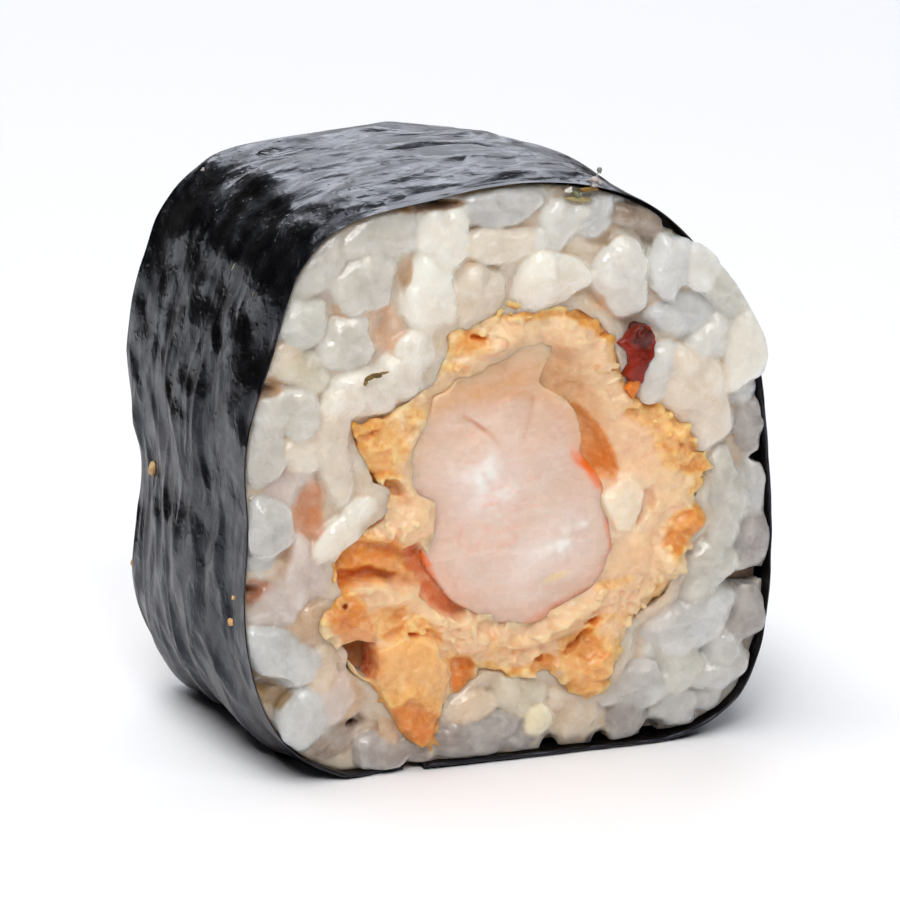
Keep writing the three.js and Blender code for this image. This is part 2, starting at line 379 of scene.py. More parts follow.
def make(name, verts, faces, colours=None, values=None, smooth_faces=True):
    me = bpy.data.meshes.new(name)
    me.from_pydata((verts * MM).tolist(), [], faces if isinstance(faces, list) else faces.tolist())
    if smooth_faces:
        me.polygons.foreach_set("use_smooth", np.ones(len(me.polygons), bool))
    if colours is not None:
        a = me.attributes.new("tint", "FLOAT_COLOR", "POINT")
        a.data.foreach_set("color", np.c_[colours, np.ones(len(colours))].astype(F).ravel())
    for key, value in (values or {}).items():
        a = me.attributes.new(key, "FLOAT", "POINT")
        a.data.foreach_set("value", np.asarray(value, F))
    me.update()
    o = bpy.data.objects.new(name, me)
    bpy.context.scene.collection.objects.link(o)
    return o


# ---- rice ------------------------------------------------------------------------

# Rice colours; the greys g, s and d are partly painted shade, given to the grains low down and along the right side of
# the near cut
RICE_TONES_AND_SHADE = {"h": (212, 196, 186), "v": (214, 208, 197), "u": (201, 195, 185), "q": (234, 220, 188),   # sRGB shades of moist rice
    "w": (221, 217, 209), "b": (208, 207, 204), "g": (192, 189, 185), "s": (167, 159, 154), "d": (156, 136, 118), "c": (238, 230, 217),
    "p": (230, 216, 198), "e": (205, 202, 192), "y": (210, 200, 178), "n": (220, 201, 177), "t": (214, 184, 152)}


def linear(rgb):
    c = np.asarray(rgb, float) / 255
    return np.where(c <= 0.04045, c / 12.92, ((c + 0.055) / 1.055) ** 2.4)


# The near face's front grains: centre x, z, half length, half width, angle, how far it stands out past the rim, dip of
# its long axis, tone (a grey one partly painted shade)
NEAR_GRAINS = [
    (-10.3, 27.2, 2.05, 1.25, 62, 0.10, 0, "u"), (-7.2, 28.45, 2.35, 1.25, 13, 0.15, 0, "v"), (-8.0, 26.0, 1.95, 1.60, 25, 0.35, 5, "v"),
    (-11.6, 24.2, 1.65, 1.35, 15, 0.30, -6, "e"), (-9.1, 23.1, 1.50, 1.40, 80, 0.35, 0, "v"), (-12.4, 22.5, 1.25, 0.80, 20, 0.0, 0, "n"),
    (-12.1, 19.7, 2.10, 1.35, -20, 0.45, 4, "v"), (-13.5, 17.9, 2.05, 1.15, 75, 0.20, 0, "u"), (-11.5, 17.5, 1.25, 1.10, 0, 0.10, 0, "p"),
    (-9.75, 17.4, 3.0, 1.05, 97, 0.25, -3, "p"), (-9.1, 13.5, 2.45, 0.80, 40, 0.32, 3, "c"), (-13.5, 13.8, 1.52, 1.38, 80, 0.70, 0, "g"),
    (-13.7, 12.0, 1.20, 0.65, 5, -0.10, 0, "g"), (-11.4, 11.2, 2.05, 1.20, 80, 0.20, 0, "h"), (-13.1, 9.6, 1.55, 1.25, -15, 0.15, 0, "h"),
    (-12.7, 6.9, 2.40, 1.40, -32, 0.50, 0, "b"), (-11.0, 8.4, 1.60, 1.10, 60, 0.20, 0, "t"), (-11.7, 3.4, 1.70, 1.35, 50, 0.50, 0, "b"),
    (-10.0, 2.15, 1.30, 1.05, 40, 0.0, 0, "d"), (-7.9, 1.40, 1.02, 0.92, 60, 0.35, 0, "s"), (-7.0, 2.2, 0.95, 0.48, 100, 0.30, 0, "t"),
    (-9.1, 4.4, 1.35, 1.05, 65, 0.10, 0, "t"), (-10.45, 5.7, 1.75, 0.80, 100, 0.25, 0, "n"), (-9.9, 4.3, 1.35, 0.95, 60, 0.35, 0, "h"),
    (-6.7, 0.80, 0.95, 0.55, 0, 0.30, 0, "s"), (-5.55, 1.10, 1.10, 0.60, -20, 0.15, 0, "s"), (-2.4, 1.42, 2.70, 1.22, 3, 0.35, 0, "s"),
    (-2.3, 3.05, 1.55, 0.95, 10, 0.20, 0, "n"), (0.5, 3.4, 1.65, 1.30, -15, 0.30, 0, "y"), (1.5, 2.05, 0.82, 0.78, 90, 0.45, 0, "q"),
    (0.6, 1.30, 1.25, 0.85, 15, 0.20, 0, "s"), (3.7, 1.75, 1.42, 1.15, 60, 0.30, 0, "n"), (3.3, 3.1, 1.25, 0.90, 0, 0.20, 0, "n"),
    (6.6, 1.55, 1.38, 1.15, 90, 0.30, 0, "s"), (9.35, 1.75, 1.45, 1.10, -10, 0.30, 0, "g"), (7.0, 3.2, 1.95, 1.20, 10, 0.50, 0, "g"),
    (11.2, 2.2, 0.95, 0.72, 30, 0.10, 0, "g"), (12.0, 4.0, 1.85, 1.48, 60, 0.50, 0, "g"), (10.3, 6.4, 2.75, 1.65, 20, 0.60, 0, "b"),
    (9.6, 3.9, 1.65, 1.40, 40, 0.45, 0, "e"), (13.55, 6.8, 1.62, 0.95, 85, 0.35, 0, "s"), (13.6, 10.35, 1.70, 1.15, 80, 0.30, 0, "s"),
    (13.2, 3.9, 0.62, 0.45, 60, 0.10, 0, "d"), (13.55, 16.9, 1.58, 0.95, 97, 0.30, 0, "s"), (13.75, 13.3, 1.95, 0.80, 88, 0.15, 0, "g"),
    (12.1, 13.0, 2.95, 1.15, 92, 0.50, 0, "e"), (11.2, 9.3, 2.05, 1.40, 60, 0.50, 0, "e"), (10.4, 18.8, 2.95, 1.75, -66, 0.80, 0, "p"),
    (8.3, 20.3, 1.65, 1.30, 40, 0.60, 0, "w"), (13.1, 21.2, 2.35, 1.30, 82, 0.95, 0, "c"), (12.0, 24.3, 1.85, 1.20, -50, 0.80, 0, "e"),
    (10.6, 26.0, 1.55, 1.10, 60, 0.85, 0, "w"), (8.7, 25.7, 1.80, 1.20, 85, 0.75, 0, "b"), (6.1, 25.4, 2.25, 1.58, 100, 0.65, 0, "w"),
    (7.0, 28.4, 1.70, 0.75, -25, 0.20, 0, "d"), (2.8, 28.7, 1.35, 1.0, 10, 0.35, 0, "w"), (4.45, 28.6, 1.30, 0.90, 25, 0.30, 0, "b"),
    (-0.6, 29.55, 2.15, 0.95, 3, 0.30, 0, "g"), (-3.8, 28.2, 1.80, 1.45, 105, 0.40, 0, "c"), (-4.5, 25.2, 2.02, 1.50, 95, 0.45, 0, "c"),
    (-0.8, 27.5, 2.05, 0.90, -2, 0.35, 0, "p"), (2.1, 25.6, 2.20, 1.38, 15, 0.75, 0, "c"), (-1.8, 25.0, 1.65, 1.30, 60, 0.30, 0, "p"),
    (1.8, 27.6, 1.20, 0.70, 0, 0.30, 0, "w"), (9.7, 23.2, 2.25, 1.20, 5, 0.10, 0, "b"), (-8.4, 20.4, 2.10, 1.40, 8, 0.50, 0, "c"),
    (-5.6, 22.1, 1.70, 1.20, 35, 0.35, 0, "c"), (-11.3, 21.8, 1.55, 1.0, -25, 0.10, 0, "y"), (11.3, 21.7, 1.70, 1.20, 30, 0.40, 0, "w"),
    (12.9, 18.9, 1.05, 0.80, 80, 0.10, 0, "b"), (-6.7, 20.7, 1.80, 1.25, 20, 0.45, 0, "c"),
]

# Deep places of the near face: x, z, half sizes across and up, how deep below the rim
NEAR_PITS = [(-8.9, 2.9, 0.5, 0.25, 1.3), (13.7, 8.62, 1.45, 0.42, 2.6), (14.3, 15.1, 0.9, 0.35, 2.4), (2.2, 0.35, 0.55, 0.62, 2.6),
             (5.15, 0.35, 0.50, 0.62, 2.6), (8.05, 0.45, 0.45, 0.6, 2.6), (-14.35, 10.6, 0.5, 0.4, 0.9), (8.9, 28.0, 0.6, 0.4, 1.6),
             (-11.2, 15.0, 0.9, 1.9, 0.75), (-7.0, 23.8, 0.9, 1.2, 0.8), (-8.4, 6.3, 0.8, 0.9, 2.2), (-13.4, 21.0, 0.8, 0.4, 1.1),
             (-13.5, 5.45, 1.3, 0.55, 1.0),
             (-4.0, 29.9, 1.6, 0.25, 1.2)]

BATTER_AT, BATTER_RADIUS = (0.3, 13.5), 10.2
BATTER_LOBES = [(1, 0.05, -0.35), (2, -0.50, 0.42), (3, 0.70, -0.45), (4, -0.40, 0.12), (5, 0.35, 0.25)]
BATTER_FAR = [(2, 0.35, -0.3), (3, -0.6, 0.35), (4, 0.3, 0.2)]
SHRIMP_AT, SHRIMP_RADIUS = (0.0, 14.2), 6.0
SHRIMP_LOBES = [(1, -0.30, 0.0), (2, -1.16, -0.78), (3, 0.13, -0.31), (5, -0.12, 0.1), (7, -0.2, -0.06)]
SHRIMP_FAR = [(2, 0.2, 0.35), (3, -0.2, 0.25)]

# The fried coat's outer edge at the near face, and the shrimp's edge there
NEAR_BATTER = [(-3.4, 23.6), (-1.5, 23.9), (0.2, 24.3), (2.0, 24.0), (3.6, 24.2), (5.0, 23.3), (5.8, 22.3), (6.1, 21.2), (6.5, 19.5),
               (7.4, 18.8), (8.6, 18.6), (9.5, 17.9), (10.2, 16.9), (10.9, 15.9), (11.2, 14.9), (10.7, 13.8), (10.4, 13.0), (10.9, 12.2),
               (9.9, 11.2), (9.4, 10.4), (9.5, 9.3), (8.9, 7.9), (8.0, 7.3), (6.6, 6.6), (6.3, 5.2), (5.4, 3.4), (4.2, 2.9), (3.0, 3.9),
               (2.1, 4.5), (0.8, 4.6), (-1.5, 4.7), (-2.2, 4.2), (-2.8, 3.7), (-3.4, 3.7), (-3.7, 3.0), (-4.3, 1.6), (-4.8, 0.8), (-5.6, 1.5),
               (-6.4, 2.4), (-7.1, 3.3), (-7.7, 4.6), (-8.0, 5.2), (-8.9, 6.0), (-9.6, 6.9), (-10.5, 8.2), (-10.6, 8.9), (-9.7, 9.5),
               (-9.9, 10.3), (-10.1, 11.6), (-9.3, 12.7), (-8.3, 13.3), (-7.3, 14.3), (-7.2, 15.1), (-8.0, 15.5), (-8.3, 16.5),
               (-8.8, 18.0), (-8.9, 19.4), (-8.1, 18.8), (-6.8, 19.0), (-5.6, 20.0), (-4.6, 20.9), (-4.0, 22.0), (-3.9, 23.2)]
NEAR_SHRIMP = [(0.4, 22.0), (1.3, 22.3), (2.2, 22.0), (1.6, 21.1), (1.25, 20.4), (1.3, 20.0), (2.0, 19.6), (2.7, 19.2), (3.3, 18.6),
               (3.6, 17.9), (3.75, 17.0), (3.7, 16.3), (3.9, 16.0), (4.5, 15.2), (4.9, 14.4), (5.0, 13.4), (5.3, 12.2), (5.5, 11.0),
               (5.2, 10.0), (4.5, 9.2), (3.6, 8.4), (2.4, 7.9), (1.0, 7.4), (0.0, 7.45), (-1.2, 7.6), (-2.0, 8.2), (-2.7, 8.7),
               (-3.2, 9.0), (-3.7, 9.5), (-4.1, 10.1), (-4.6, 10.7), (-5.05, 11.5), (-5.0, 12.1), (-4.6, 12.6), (-4.4, 13.6),
               (-4.6, 14.4), (-5.5, 14.8), (-6.0, 15.4), (-5.7, 16.4), (-5.5, 17.3), (-5.2, 18.1), (-4.6, 19.0), (-4.4, 19.9),
               (-3.6, 20.1), (-3.2, 20.6), (-2.0, 21.1), (-0.8, 21.4)]


def ring_points(centre, radius, lobes, far, n=120):
    t = np.arange(n) / n * 2 * np.pi
    r = radius + waves(lobes, t) + waves(far, t)
    return np.c_[centre[0] + r * np.cos(t), centre[1] + r * np.sin(t)]


FAR_BATTER = ring_points(BATTER_AT, BATTER_RADIUS, BATTER_LOBES, BATTER_FAR)
FAR_SHRIMP = ring_points(SHRIMP_AT, SHRIMP_RADIUS, SHRIMP_LOBES, SHRIMP_FAR)


def sheet_polygon(v, depth=SHEET):
    t = np.arange(240) / 240 * 2 * np.pi
    return np.stack(inside_outline(t, v, depth), 1)


def scatter(rng, allowed, count, spacing):
    """Points spread evenly where allowed(x, z) holds, each the best of some tries."""
    got = np.zeros((0, 2))
    while len(got) < count:
        tries = np.c_[rng.uniform(-14.5, 14.5, 60), rng.uniform(0.8, 30.4, 60)]
        tries = tries[allowed(tries[:, 0], tries[:, 1])]
        if not len(tries):
            continue
        if len(got):
            d = np.hypot(*(tries[:, None] - got[None]).transpose(2, 0, 1)).min(1)
            best = d.argmax()
            if d[best] < spacing:
                break
            got = np.r_[got, tries[best:best + 1]]
        else:
            got = tries[:1]
    return got


def look_up(array, xs, zs, x, z):
    i = np.clip(np.round(np.interp(x, xs, np.arange(len(xs)))).astype(int), 0, len(xs) - 1)
    k = np.clip(np.round(np.interp(z, zs, np.arange(len(zs)))).astype(int), 0, len(zs) - 1)
    return array[i, k]


def ellipses(rows, X, Z, edge=0.35):
    """Sum of soft ellipses: 1 inside, fading to 0 within a share edge beyond."""
    out = np.zeros(X.shape)
    for x, z, a, b, angle, amount in rows:
        c, s = math.cos(math.radians(angle)), math.sin(math.radians(angle))
        u, w = (X - x) * c + (Z - z) * s, (Z - z) * c - (X - x) * s
        out += amount * (1 - smooth(np.sqrt((u / a) ** 2 + (w / b) ** 2), 1 - edge, 1 + edge))
    return out


def smooth_over(quads, values, rounds):
    """Spreads a value at each vertex over its neighbours."""
    e = np.concatenate([quads[:, [0, 1]], quads[:, [1, 2]], quads[:, [2, 3]], quads[:, [3, 0]]])
    n = len(values)
    deg = np.bincount(e.ravel(), minlength=n).astype(float)
    for _ in range(rounds):
        if values.ndim == 1:
            total = np.bincount(e[:, 0], values[e[:, 1]], n) + np.bincount(e[:, 1], values[e[:, 0]], n)
            values = 0.5 * values + 0.5 * total / deg
        else:
            values = np.stack([smooth_over(quads, values[:, c], 1) for c in range(values.shape[1])], 1)
    return values


# Tan and dark places in the near cut: the moist rice behind the grains where they leave it in view, with painted shade
# in the deeper hollows and painted near-black in the gaps through to the seaweed: x, z, half sizes, angle, sRGB colour,
# amount
RICE_TAN_AND_SHADE = [(-7.0, 23.8, 0.95, 1.8, 20, (226, 184, 150), 0.97), (-11.1, 14.6, 0.80, 1.5, -8, (214, 148, 104), 0.97), (-13.4, 20.9, 0.9, 0.6, 0, (196, 152, 108), 0.95),
               (-13.45, 5.4, 1.7, 0.62, -38, (160, 128, 80), 0.95), (-4.0, 29.9, 2.4, 0.45, 0, (186, 144, 92), 0.9),
               (5.3, 24.0, 1.2, 0.7, -20, (214, 172, 130), 0.9), (5.4, 27.6, 1.3, 0.45, -10, (176, 152, 120), 0.9), (7.5, 27.3, 0.6, 0.35, 0, (120, 96, 66), 0.9),
               (-14.1, 10.5, 0.8, 0.5, 20, (176, 112, 74), 0.9), (-11.5, 21.9, 0.8, 0.5, 0, (218, 190, 150), 0.7), (-9.2, 25.0, 0.3, 0.5, 0, (206, 168, 128), 0.8),
               (-5.9, 26.2, 0.35, 0.8, 20, (200, 160, 116), 0.9), (-2.6, 26.8, 0.6, 0.5, 0, (226, 196, 158), 0.7), (2.6, 27.0, 1.2, 0.3, 0, (214, 188, 146), 0.7),
               (-8.7, 2.9, 0.6, 0.5, 0, (120, 86, 60), 0.9), (-12.2, 11.9, 0.9, 0.9, 30, (204, 170, 140), 0.8), (9.0, 22.4, 1.3, 0.4, 10, (206, 188, 160), 0.6),
               (13.6, 8.65, 1.5, 0.45, 8, (30, 26, 24), 0.97), (14.4, 15.1, 0.6, 0.4, 0, (30, 26, 24), 0.95), (2.2, 0.4, 0.55, 0.6, 0, (34, 28, 24), 0.9),
               (5.15, 0.4, 0.5, 0.6, 0, (34, 28, 24), 0.9), (8.05, 0.5, 0.45, 0.6, 0, (34, 28, 24), 0.9), (13.9, 5.9, 0.5, 0.5, 0, (60, 48, 36), 0.8)]


def rice_face(side, step):
    """One cut face's grains as a field; side is -1 for the near face and +1 for the far one. Worked out facing -Y, then turned round."""
    near = side < 0
    v = 0.0 if near else 1.0
    rng = np.random.default_rng(11 if near else 23)
    xs, zs = spread((-15.2, 15.2, step)), spread((-0.15, 31.2, step))
    ys = spread((-11.1, -8.3, step))
    field = Field(xs, ys, zs)
    X2, Z2 = np.meshgrid(xs, zs, indexing="ij")
    sheet = polygon_distance(sheet_polygon(v), X2, Z2)
    coat = polygon_distance(NEAR_BATTER if near else FAR_BATTER, X2, Z2)
    grain_tones_and_shade, grains = [], []
    if near:
        for x, z, a, b, angle, proud, dip, tone in NEAR_GRAINS:
            grains.append((x, z, a, b, angle, proud, dip, tone, rng.uniform(-0.22, 0.22), rng.uniform(-0.12, 0.16)))
    else:
        spots = scatter(rng, lambda x, z: (look_up(sheet, xs, zs, x, z) < -1.0) & (look_up(coat, xs, zs, x, z) > 0.7), 110, 1.95)
        for x, z in spots:
            b = rng.uniform(1.1, 1.5)
            tone = rng.choice(list("wwwbbgep")) if look_up(coat, xs, zs, x, z) > 2.2 else rng.choice(list("ccpw"))
            grains.append((x, z, b * rng.uniform(1.15, 1.75), b, rng.uniform(0, 180), rng.uniform(0.1, 0.8), rng.uniform(-14, 14), tone,
                           rng.uniform(-0.22, 0.22), rng.uniform(-0.12, 0.16)))
    front = len(grains)
    spots = scatter(rng, lambda x, z: (look_up(sheet, xs, zs, x, z) < -0.4) & (look_up(coat, xs, zs, x, z) > 0.0), 190, 1.62)
    for x, z in spots:
        b = rng.uniform(1.0, 1.35)
        d = look_up(coat, xs, zs, x, z)
        tone = rng.choice(list("ynp")) if d < 2.2 else rng.choice(list("hep")) if near and x < -9 else rng.choice(list("eyep"))
        grains.append((x, z, b * rng.uniform(1.2, 1.7), b, rng.uniform(0, 180), rng.uniform(*((-0.75, -0.20) if near else (-0.55, -0.05))), rng.uniform(-15, 15), tone,
                       rng.uniform(-0.2, 0.2), 0.05))
    best, second = np.full(field.phi.shape, 3.0, F), np.full(field.phi.shape, 3.0, F)
    places = []
    for n, (x, z, a, b, angle, proud, dip, tone, bend, taper) in enumerate(grains):
        deep = b * 0.95
        face = -(RIM + proud)
        centre = (x, face + deep * (0.86 if n < front else 0.95), z)
        a, b = a + 0.08, b + 0.08
        axes = turn(angle, dip, rng.uniform(-12, 12))
        r = a + 0.5
        w = field.window((x - r, centre[1] - r, z - r), (x + r, centre[1] + r, z + r))
        p = field.local(w, centre)
        corners = (rng.uniform(0.03, 0.10), rng.uniform(0.025, 0.065), rng.uniform(0, 6.3), rng.uniform(0, 6.3))
        g = grain_distance(p, axes, (a, b, deep), bend, taper, rng.uniform(1.8, 2.4), corners)
        g = g + F(0.14) * grid_noise(tuple(q.ravel() for q in p), 1.0, 1000 + n) + F(0.045) * grid_noise(tuple(q.ravel() for q in p), 0.42, 2000 + n)
        cut = F(face) - field.axes[1][w[1]][None, :, None] + 0 * g
        g = smax(g, cut, F(0.8 if n < front else 0.3))
        old = best[w].copy()
        field.owner[w] = np.where(g < old, n, field.owner[w])
        second[w] = np.where(g < old, old, np.minimum(second[w], g))
        best[w] = np.minimum(old, g)
        field.phi[w] = smin(field.phi[w], g, F(0.13))
        grain_tones_and_shade.append(linear(RICE_TONES_AND_SHADE[tone]) * rng.uniform(0.93, 1.05))
        places.append((*centre, *axes[0], *axes[1], a, b))
    X, Y, Z = field.mesh()
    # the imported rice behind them
    bed = F(-(RIM - (0.54 if near else 0.95))) - Y + F(0.22) * grid_noise(field.axes, 1.7, 5 if near else 6)
    bed = bed - F(0.40) * smooth(coat, 0.9, 0.1).astype(F)[:, None, :]
    bed = np.maximum(bed, (-0.25 - coat)[:, None, :] * F(1))
    second = np.where(bed < best, best, np.minimum(second, bed))
    field.owner = np.where(bed < best, -2, field.owner).astype(np.int16)
    best = np.minimum(best, bed)
    field.phi = smin(field.phi, bed, F(0.2))
    if near:
        for x, z, rx, rz, depth in NEAR_PITS:
            w = field.window((x - rx - 1, -12, z - rz - 1), (x + rx + 1, -RIM + depth + 0.6, z + rz + 1))
            p = field.local(w, (x, -RIM - 0.6, z))
            k = np.sqrt((p[0] / F(rx)) ** 2 + (p[2] / F(rz)) ** 2 + (p[1] / F(depth + 0.6)) ** 2) + F(1e-6)
            hole = np.sqrt(p[0] ** 2 + p[1] ** 2 + p[2] ** 2) * (1 - 1 / k) * F(0.8)
            field.phi[w] = smax(field.phi[w], -hole, F(0.25))
    # a little unevenness, and the starch film's small pimples
    field.phi += F(0.075) * grid_noise(field.axes, 0.8, 41) + F(0.05) * np.abs(grid_noise(field.axes, 0.6, 43)) - F(0.015)
    field.phi += F(0.042) * grid_noise(field.axes, 0.40, 42)
    # held in by the seaweed, free to lap over its cut edge
    angle = np.degrees(np.arctan2(Z2 - 15.5, X2))
    lap = 0.12 + 0.13 * np.exp(-((angle + 120) / 12) ** 2) + (0.25 + 0.10 * np.sin(angle / 3.1) + 0.06 * np.sin(angle / 1.3)) * smooth(angle, -80, -66) * (1 - smooth(angle, 4, 12))
    if near:
        corner = smooth(angle, 12, 22) * (1 - smooth(angle, 44, 54))
        lap = lap + 0.5 * corner + 0.22 * smooth(angle, -66, -52) * (1 - smooth(angle, -24, -8))
    past = smooth(-Y[0, :, 0], RIM - 0.15, RIM + 0.25)
    wall = (sheet + 0.04)[:, None, :] - (lap[:, None, :] * past[None, :, None]).astype(F)
    field.phi = smax(field.phi, wall.astype(F), F(0.12))
    field.phi[:, -1, :] = np.maximum(field.phi[:, -1, :], F(0.02))
    field.phi[:, -1, :] = F(0.5)
    field.phi[0], field.phi[-1], field.phi[:, 0], field.phi[:, :, 0], field.phi[:, :, -1] = 1, 1, 1, 1, 1
    verts, quads, _ = surface(field)
    verts, quads, _ = largest(verts, quads)
    verts = relax(verts, quads, 1)
    i, j, k = (np.clip(np.round(np.interp(verts[:, a], g, np.arange(len(g)))).astype(int), 0, len(g) - 1) for a, g in enumerate(field.axes))
    owner = field.owner[i, j, k]
    table = np.array(grain_tones_and_shade + [linear(RICE_TONES_AND_SHADE["n"])])
    colours = smooth_over(quads, table[np.where(owner < 0, len(grain_tones_and_shade), owner)], 3)
    # a grain is painted lighter towards its edge, a painted rim light, and a darker tan where it meets the next, a
    # starchy line with painted shade in the join
    at = np.array(places + [(0, 0, 0, 1, 0, 0, 0, 0, 1, 99, 99)])[np.where(owner < 0, len(grain_tones_and_shade), owner)]
    p = verts - at[:, :3]
    radial = np.sqrt(((p * at[:, 3:6]).sum(1) / at[:, 9]) ** 2 + ((p * at[:, 6:9]).sum(1) / at[:, 10]) ** 2)
    painted_rim_light = np.where(at[:, 9] < 50, smooth(radial, 0.40, 0.85), 0.4)
    meeting = 1 - smooth(sample(field, second - best, verts), 0.04, 0.26)
    meeting, painted_rim_light = smooth_over(quads, meeting, 1), smooth_over(quads, painted_rim_light, 2)
    cloud = smooth(point_noise(verts, 1.0, 61), -0.5, 0.7)
    colours = colours * (0.93 + 0.07 * painted_rim_light + 0.07 * cloud)[:, None]
    colours = colours * (1 - meeting[:, None] * (1 - np.array([0.93, 0.84, 0.70])) * 0.18)
    if near:
        wobble = point_noise(verts, 0.8, 62), point_noise(verts, 0.8, 63)
        # painted: the tan of the rice behind, painted shade in the deeper hollows and painted near-black in the gaps to
        # the seaweed
        for x, z, a, b, angle, rgb, amount in RICE_TAN_AND_SHADE:
            k = ellipses([(x, z, a, b, angle, amount)], verts[:, 0] + 0.35 * wobble[0], verts[:, 2] + 0.35 * wobble[1], 0.35) * smooth(verts[:, 1], -RIM + 0.02, -RIM + 0.24)
            colours = colours * (1 - k[:, None]) + linear(rgb) * k[:, None]
    # painted shade: darker and warmer the deeper the surface lies below the rim, and a little warmer near the coat
    deep = smooth(verts[:, 1], -RIM + 0.2, -RIM + 1.6)
    inner = sample_face(coat, xs, zs, verts)
    warm_and_shade = smooth(-inner, -2.6, -0.2) * 0.16 + deep * 0.55
    if not near:
        verts = verts * (1, -1, 1)
        quads = quads[:, ::-1]
    return verts, quads, colours, warm_and_shade, deep


def sample_face(array, xs, zs, verts):
    i = np.clip(np.searchsorted(xs, verts[:, 0]) - 1, 0, len(xs) - 2)
    k = np.clip(np.searchsorted(zs, verts[:, 2]) - 1, 0, len(zs) - 2)
    fx = np.clip((verts[:, 0] - xs[i]) / (xs[i + 1] - xs[i]), 0, 1)
    fz = np.clip((verts[:, 2] - zs[k]) / (zs[k + 1] - zs[k]), 0, 1)
    return (array[i, k] * (1 - fx) * (1 - fz) + array[i + 1, k] * fx * (1 - fz) + array[i, k + 1] * (1 - fx) * fz
            + array[i + 1, k + 1] * fx * fz)


STEP = 0.12


def add(name, verts, faces, colours, values, node):
    o = make(name, verts, faces, colours, values)
    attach(o, "root")
    if node:
        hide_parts(node)
    return o


rice = []
for name, side, step in (("rice_grains_front", -1, STEP), ("rice_grains_back", 1, STEP * 1.3)):
    verts, quads, colours, warm_and_shade, deep = rice_face(side, step)
    y = np.abs(verts[:, 1])
    rim = np.concatenate([sheet_polygon(v, SHEET) for v in (0.0 if side < 0 else 1.0,)])
    hidden = (y < 8.45) | ((y < RIM - 0.75) & (np.abs(polygon_distance(rim, verts[:, 0], verts[:, 2])) < 0.25))
    inner = NEAR_BATTER if side < 0 else FAR_BATTER
    hidden |= (y < RIM - 1.2) & (np.abs(polygon_distance(inner, verts[:, 0], verts[:, 2])) < 0.35)
    verts, faces, kept = thin(verts, quads, hidden, 0.8)
    rice.append(add(name, verts, faces, colours[kept], {"warm_and_shade": warm_and_shade[kept], "deep": deep[kept]}, "rice"))

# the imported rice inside, out of sight
t = np.arange(96) / 96 * 2 * np.pi
rows = []
for y in np.linspace(-8.5, 8.5, 5):
    v = (y + RIM) / (2 * RIM)
    x, z = inside_outline(t, v, 0.6)
    rows.append(np.stack([x, 0 * x + y, z], 1))
for y in np.linspace(8.5, -8.5, 5):
    rows.append(np.stack([BATTER_AT[0] + 8.6 * np.cos(t), 0 * t + y, BATTER_AT[1] + 8.6 * np.sin(t)], 1))
verts = np.concatenate(rows)
n, m = len(t), len(rows)
i, j = np.meshgrid(np.arange(n), np.arange(m), indexing="ij")
i, j = i.ravel(), j.ravel()
quads = np.stack([j * n + i, j * n + (i + 1) % n, ((j + 1) % m) * n + (i + 1) % n, ((j + 1) % m) * n + i], 1)
core = add("rice_core", verts, quads, np.tile(linear(RICE_TONES_AND_SHADE["t"]), (len(verts), 1)), {"warm_and_shade": np.ones(len(verts)), "deep": np.ones(len(verts))},
           "rice")
rice.append(core)


# ---- the fried coat -----------------------------------------------------------------

# Soft ellipses on the near cut: x, z, half sizes, angle, amount
CRISP = [(-2.6, 22.7, 1.1, 0.7, -10, 1.0), (-2.4, 21.3, 1.6, 0.35, -5, 0.6), (1.0, 23.8, 1.5, 0.40, -10, 0.9), (3.6, 23.4, 1.3, 0.40, -15, 0.9),
         (5.0, 22.9, 0.7, 0.45, -40, 0.8), (5.6, 22.3, 0.4, 0.5, 0, 0.8), (3.4, 24.0, 0.5, 0.25, 0, 1.0), (6.1, 20.6, 0.4, 1.1, 5, 0.5),
         (-8.3, 18.3, 0.7, 1.4, 10, 1.1), (-7.2, 17.6, 1.3, 1.4, 0, 0.75), (-5.2, 19.1, 0.8, 0.9, -30, 0.5), (-7.3, 16.1, 1.1, 0.5, -10, 0.7),
         (-8.2, 12.4, 1.8, 0.75, -5, 1.1), (-7.6, 11.2, 2.3, 0.8, 0, 1.0), (-9.6, 11.5, 0.6, 0.9, 0, 0.7), (-9.5, 9.0, 1.2, 0.9, 30, 1.1),
         (-7.7, 8.4, 1.6, 0.9, -10, 0.75), (-7.6, 10.0, 1.9, 0.5, -10, 0.45), (-6.0, 4.5, 1.9, 1.8, 0, 0.55), (-5.5, 2.5, 1.2, 1.4, 20, 1.1),
         (-3.0, 5.0, 0.7, 1.0, 20, 1.0), (-1.0, 5.1, 1.5, 0.35, 0, 0.6), (1.7, 5.0, 0.9, 0.4, 0, 1.1), (3.6, 6.0, 1.1, 0.6, 25, 1.1),
         (4.2, 4.3, 1.6, 1.3, 0, 0.95), (5.3, 5.7, 1.0, 0.7, 0, 0.8), (5.2, 6.9, 1.1, 0.25, 15, 0.7), (9.9, 12.0, 1.1, 0.8, 20, 1.6),
         (9.2, 11.0, 0.5, 0.6, 0, 1.1), (8.9, 10.4, 0.4, 0.5, 0, 0.6), (8.4, 9.0, 0.4, 0.7, 0, 0.6), (7.6, 13.0, 0.3, 0.45, 0, 0.8),
         (5.6, 9.1, 0.9, 0.3, 25, 0.6), (7.6, 17.8, 1.3, 0.8, -30, 0.75), (9.0, 17.0, 1.1, 1.0, 0, 0.85), (9.6, 15.7, 1.3, 0.9, -50, 0.85),
         (10.4, 15.2, 0.6, 0.45, 0, 0.9), (10.2, 13.8, 0.7, 0.35, 30, 0.6), (4.5, 20.5, 0.8, 0.4, -40, 0.45), (-5.0, 7.2, 1.7, 0.9, -10, 0.5),
         (-1.2, 6.4, 1.8, 0.7, 0, 0.3), (6.8, 10.4, 0.9, 1.2, 0, 0.28), (-9.9, 10.0, 0.6, 0.5, 0, 0.6)]
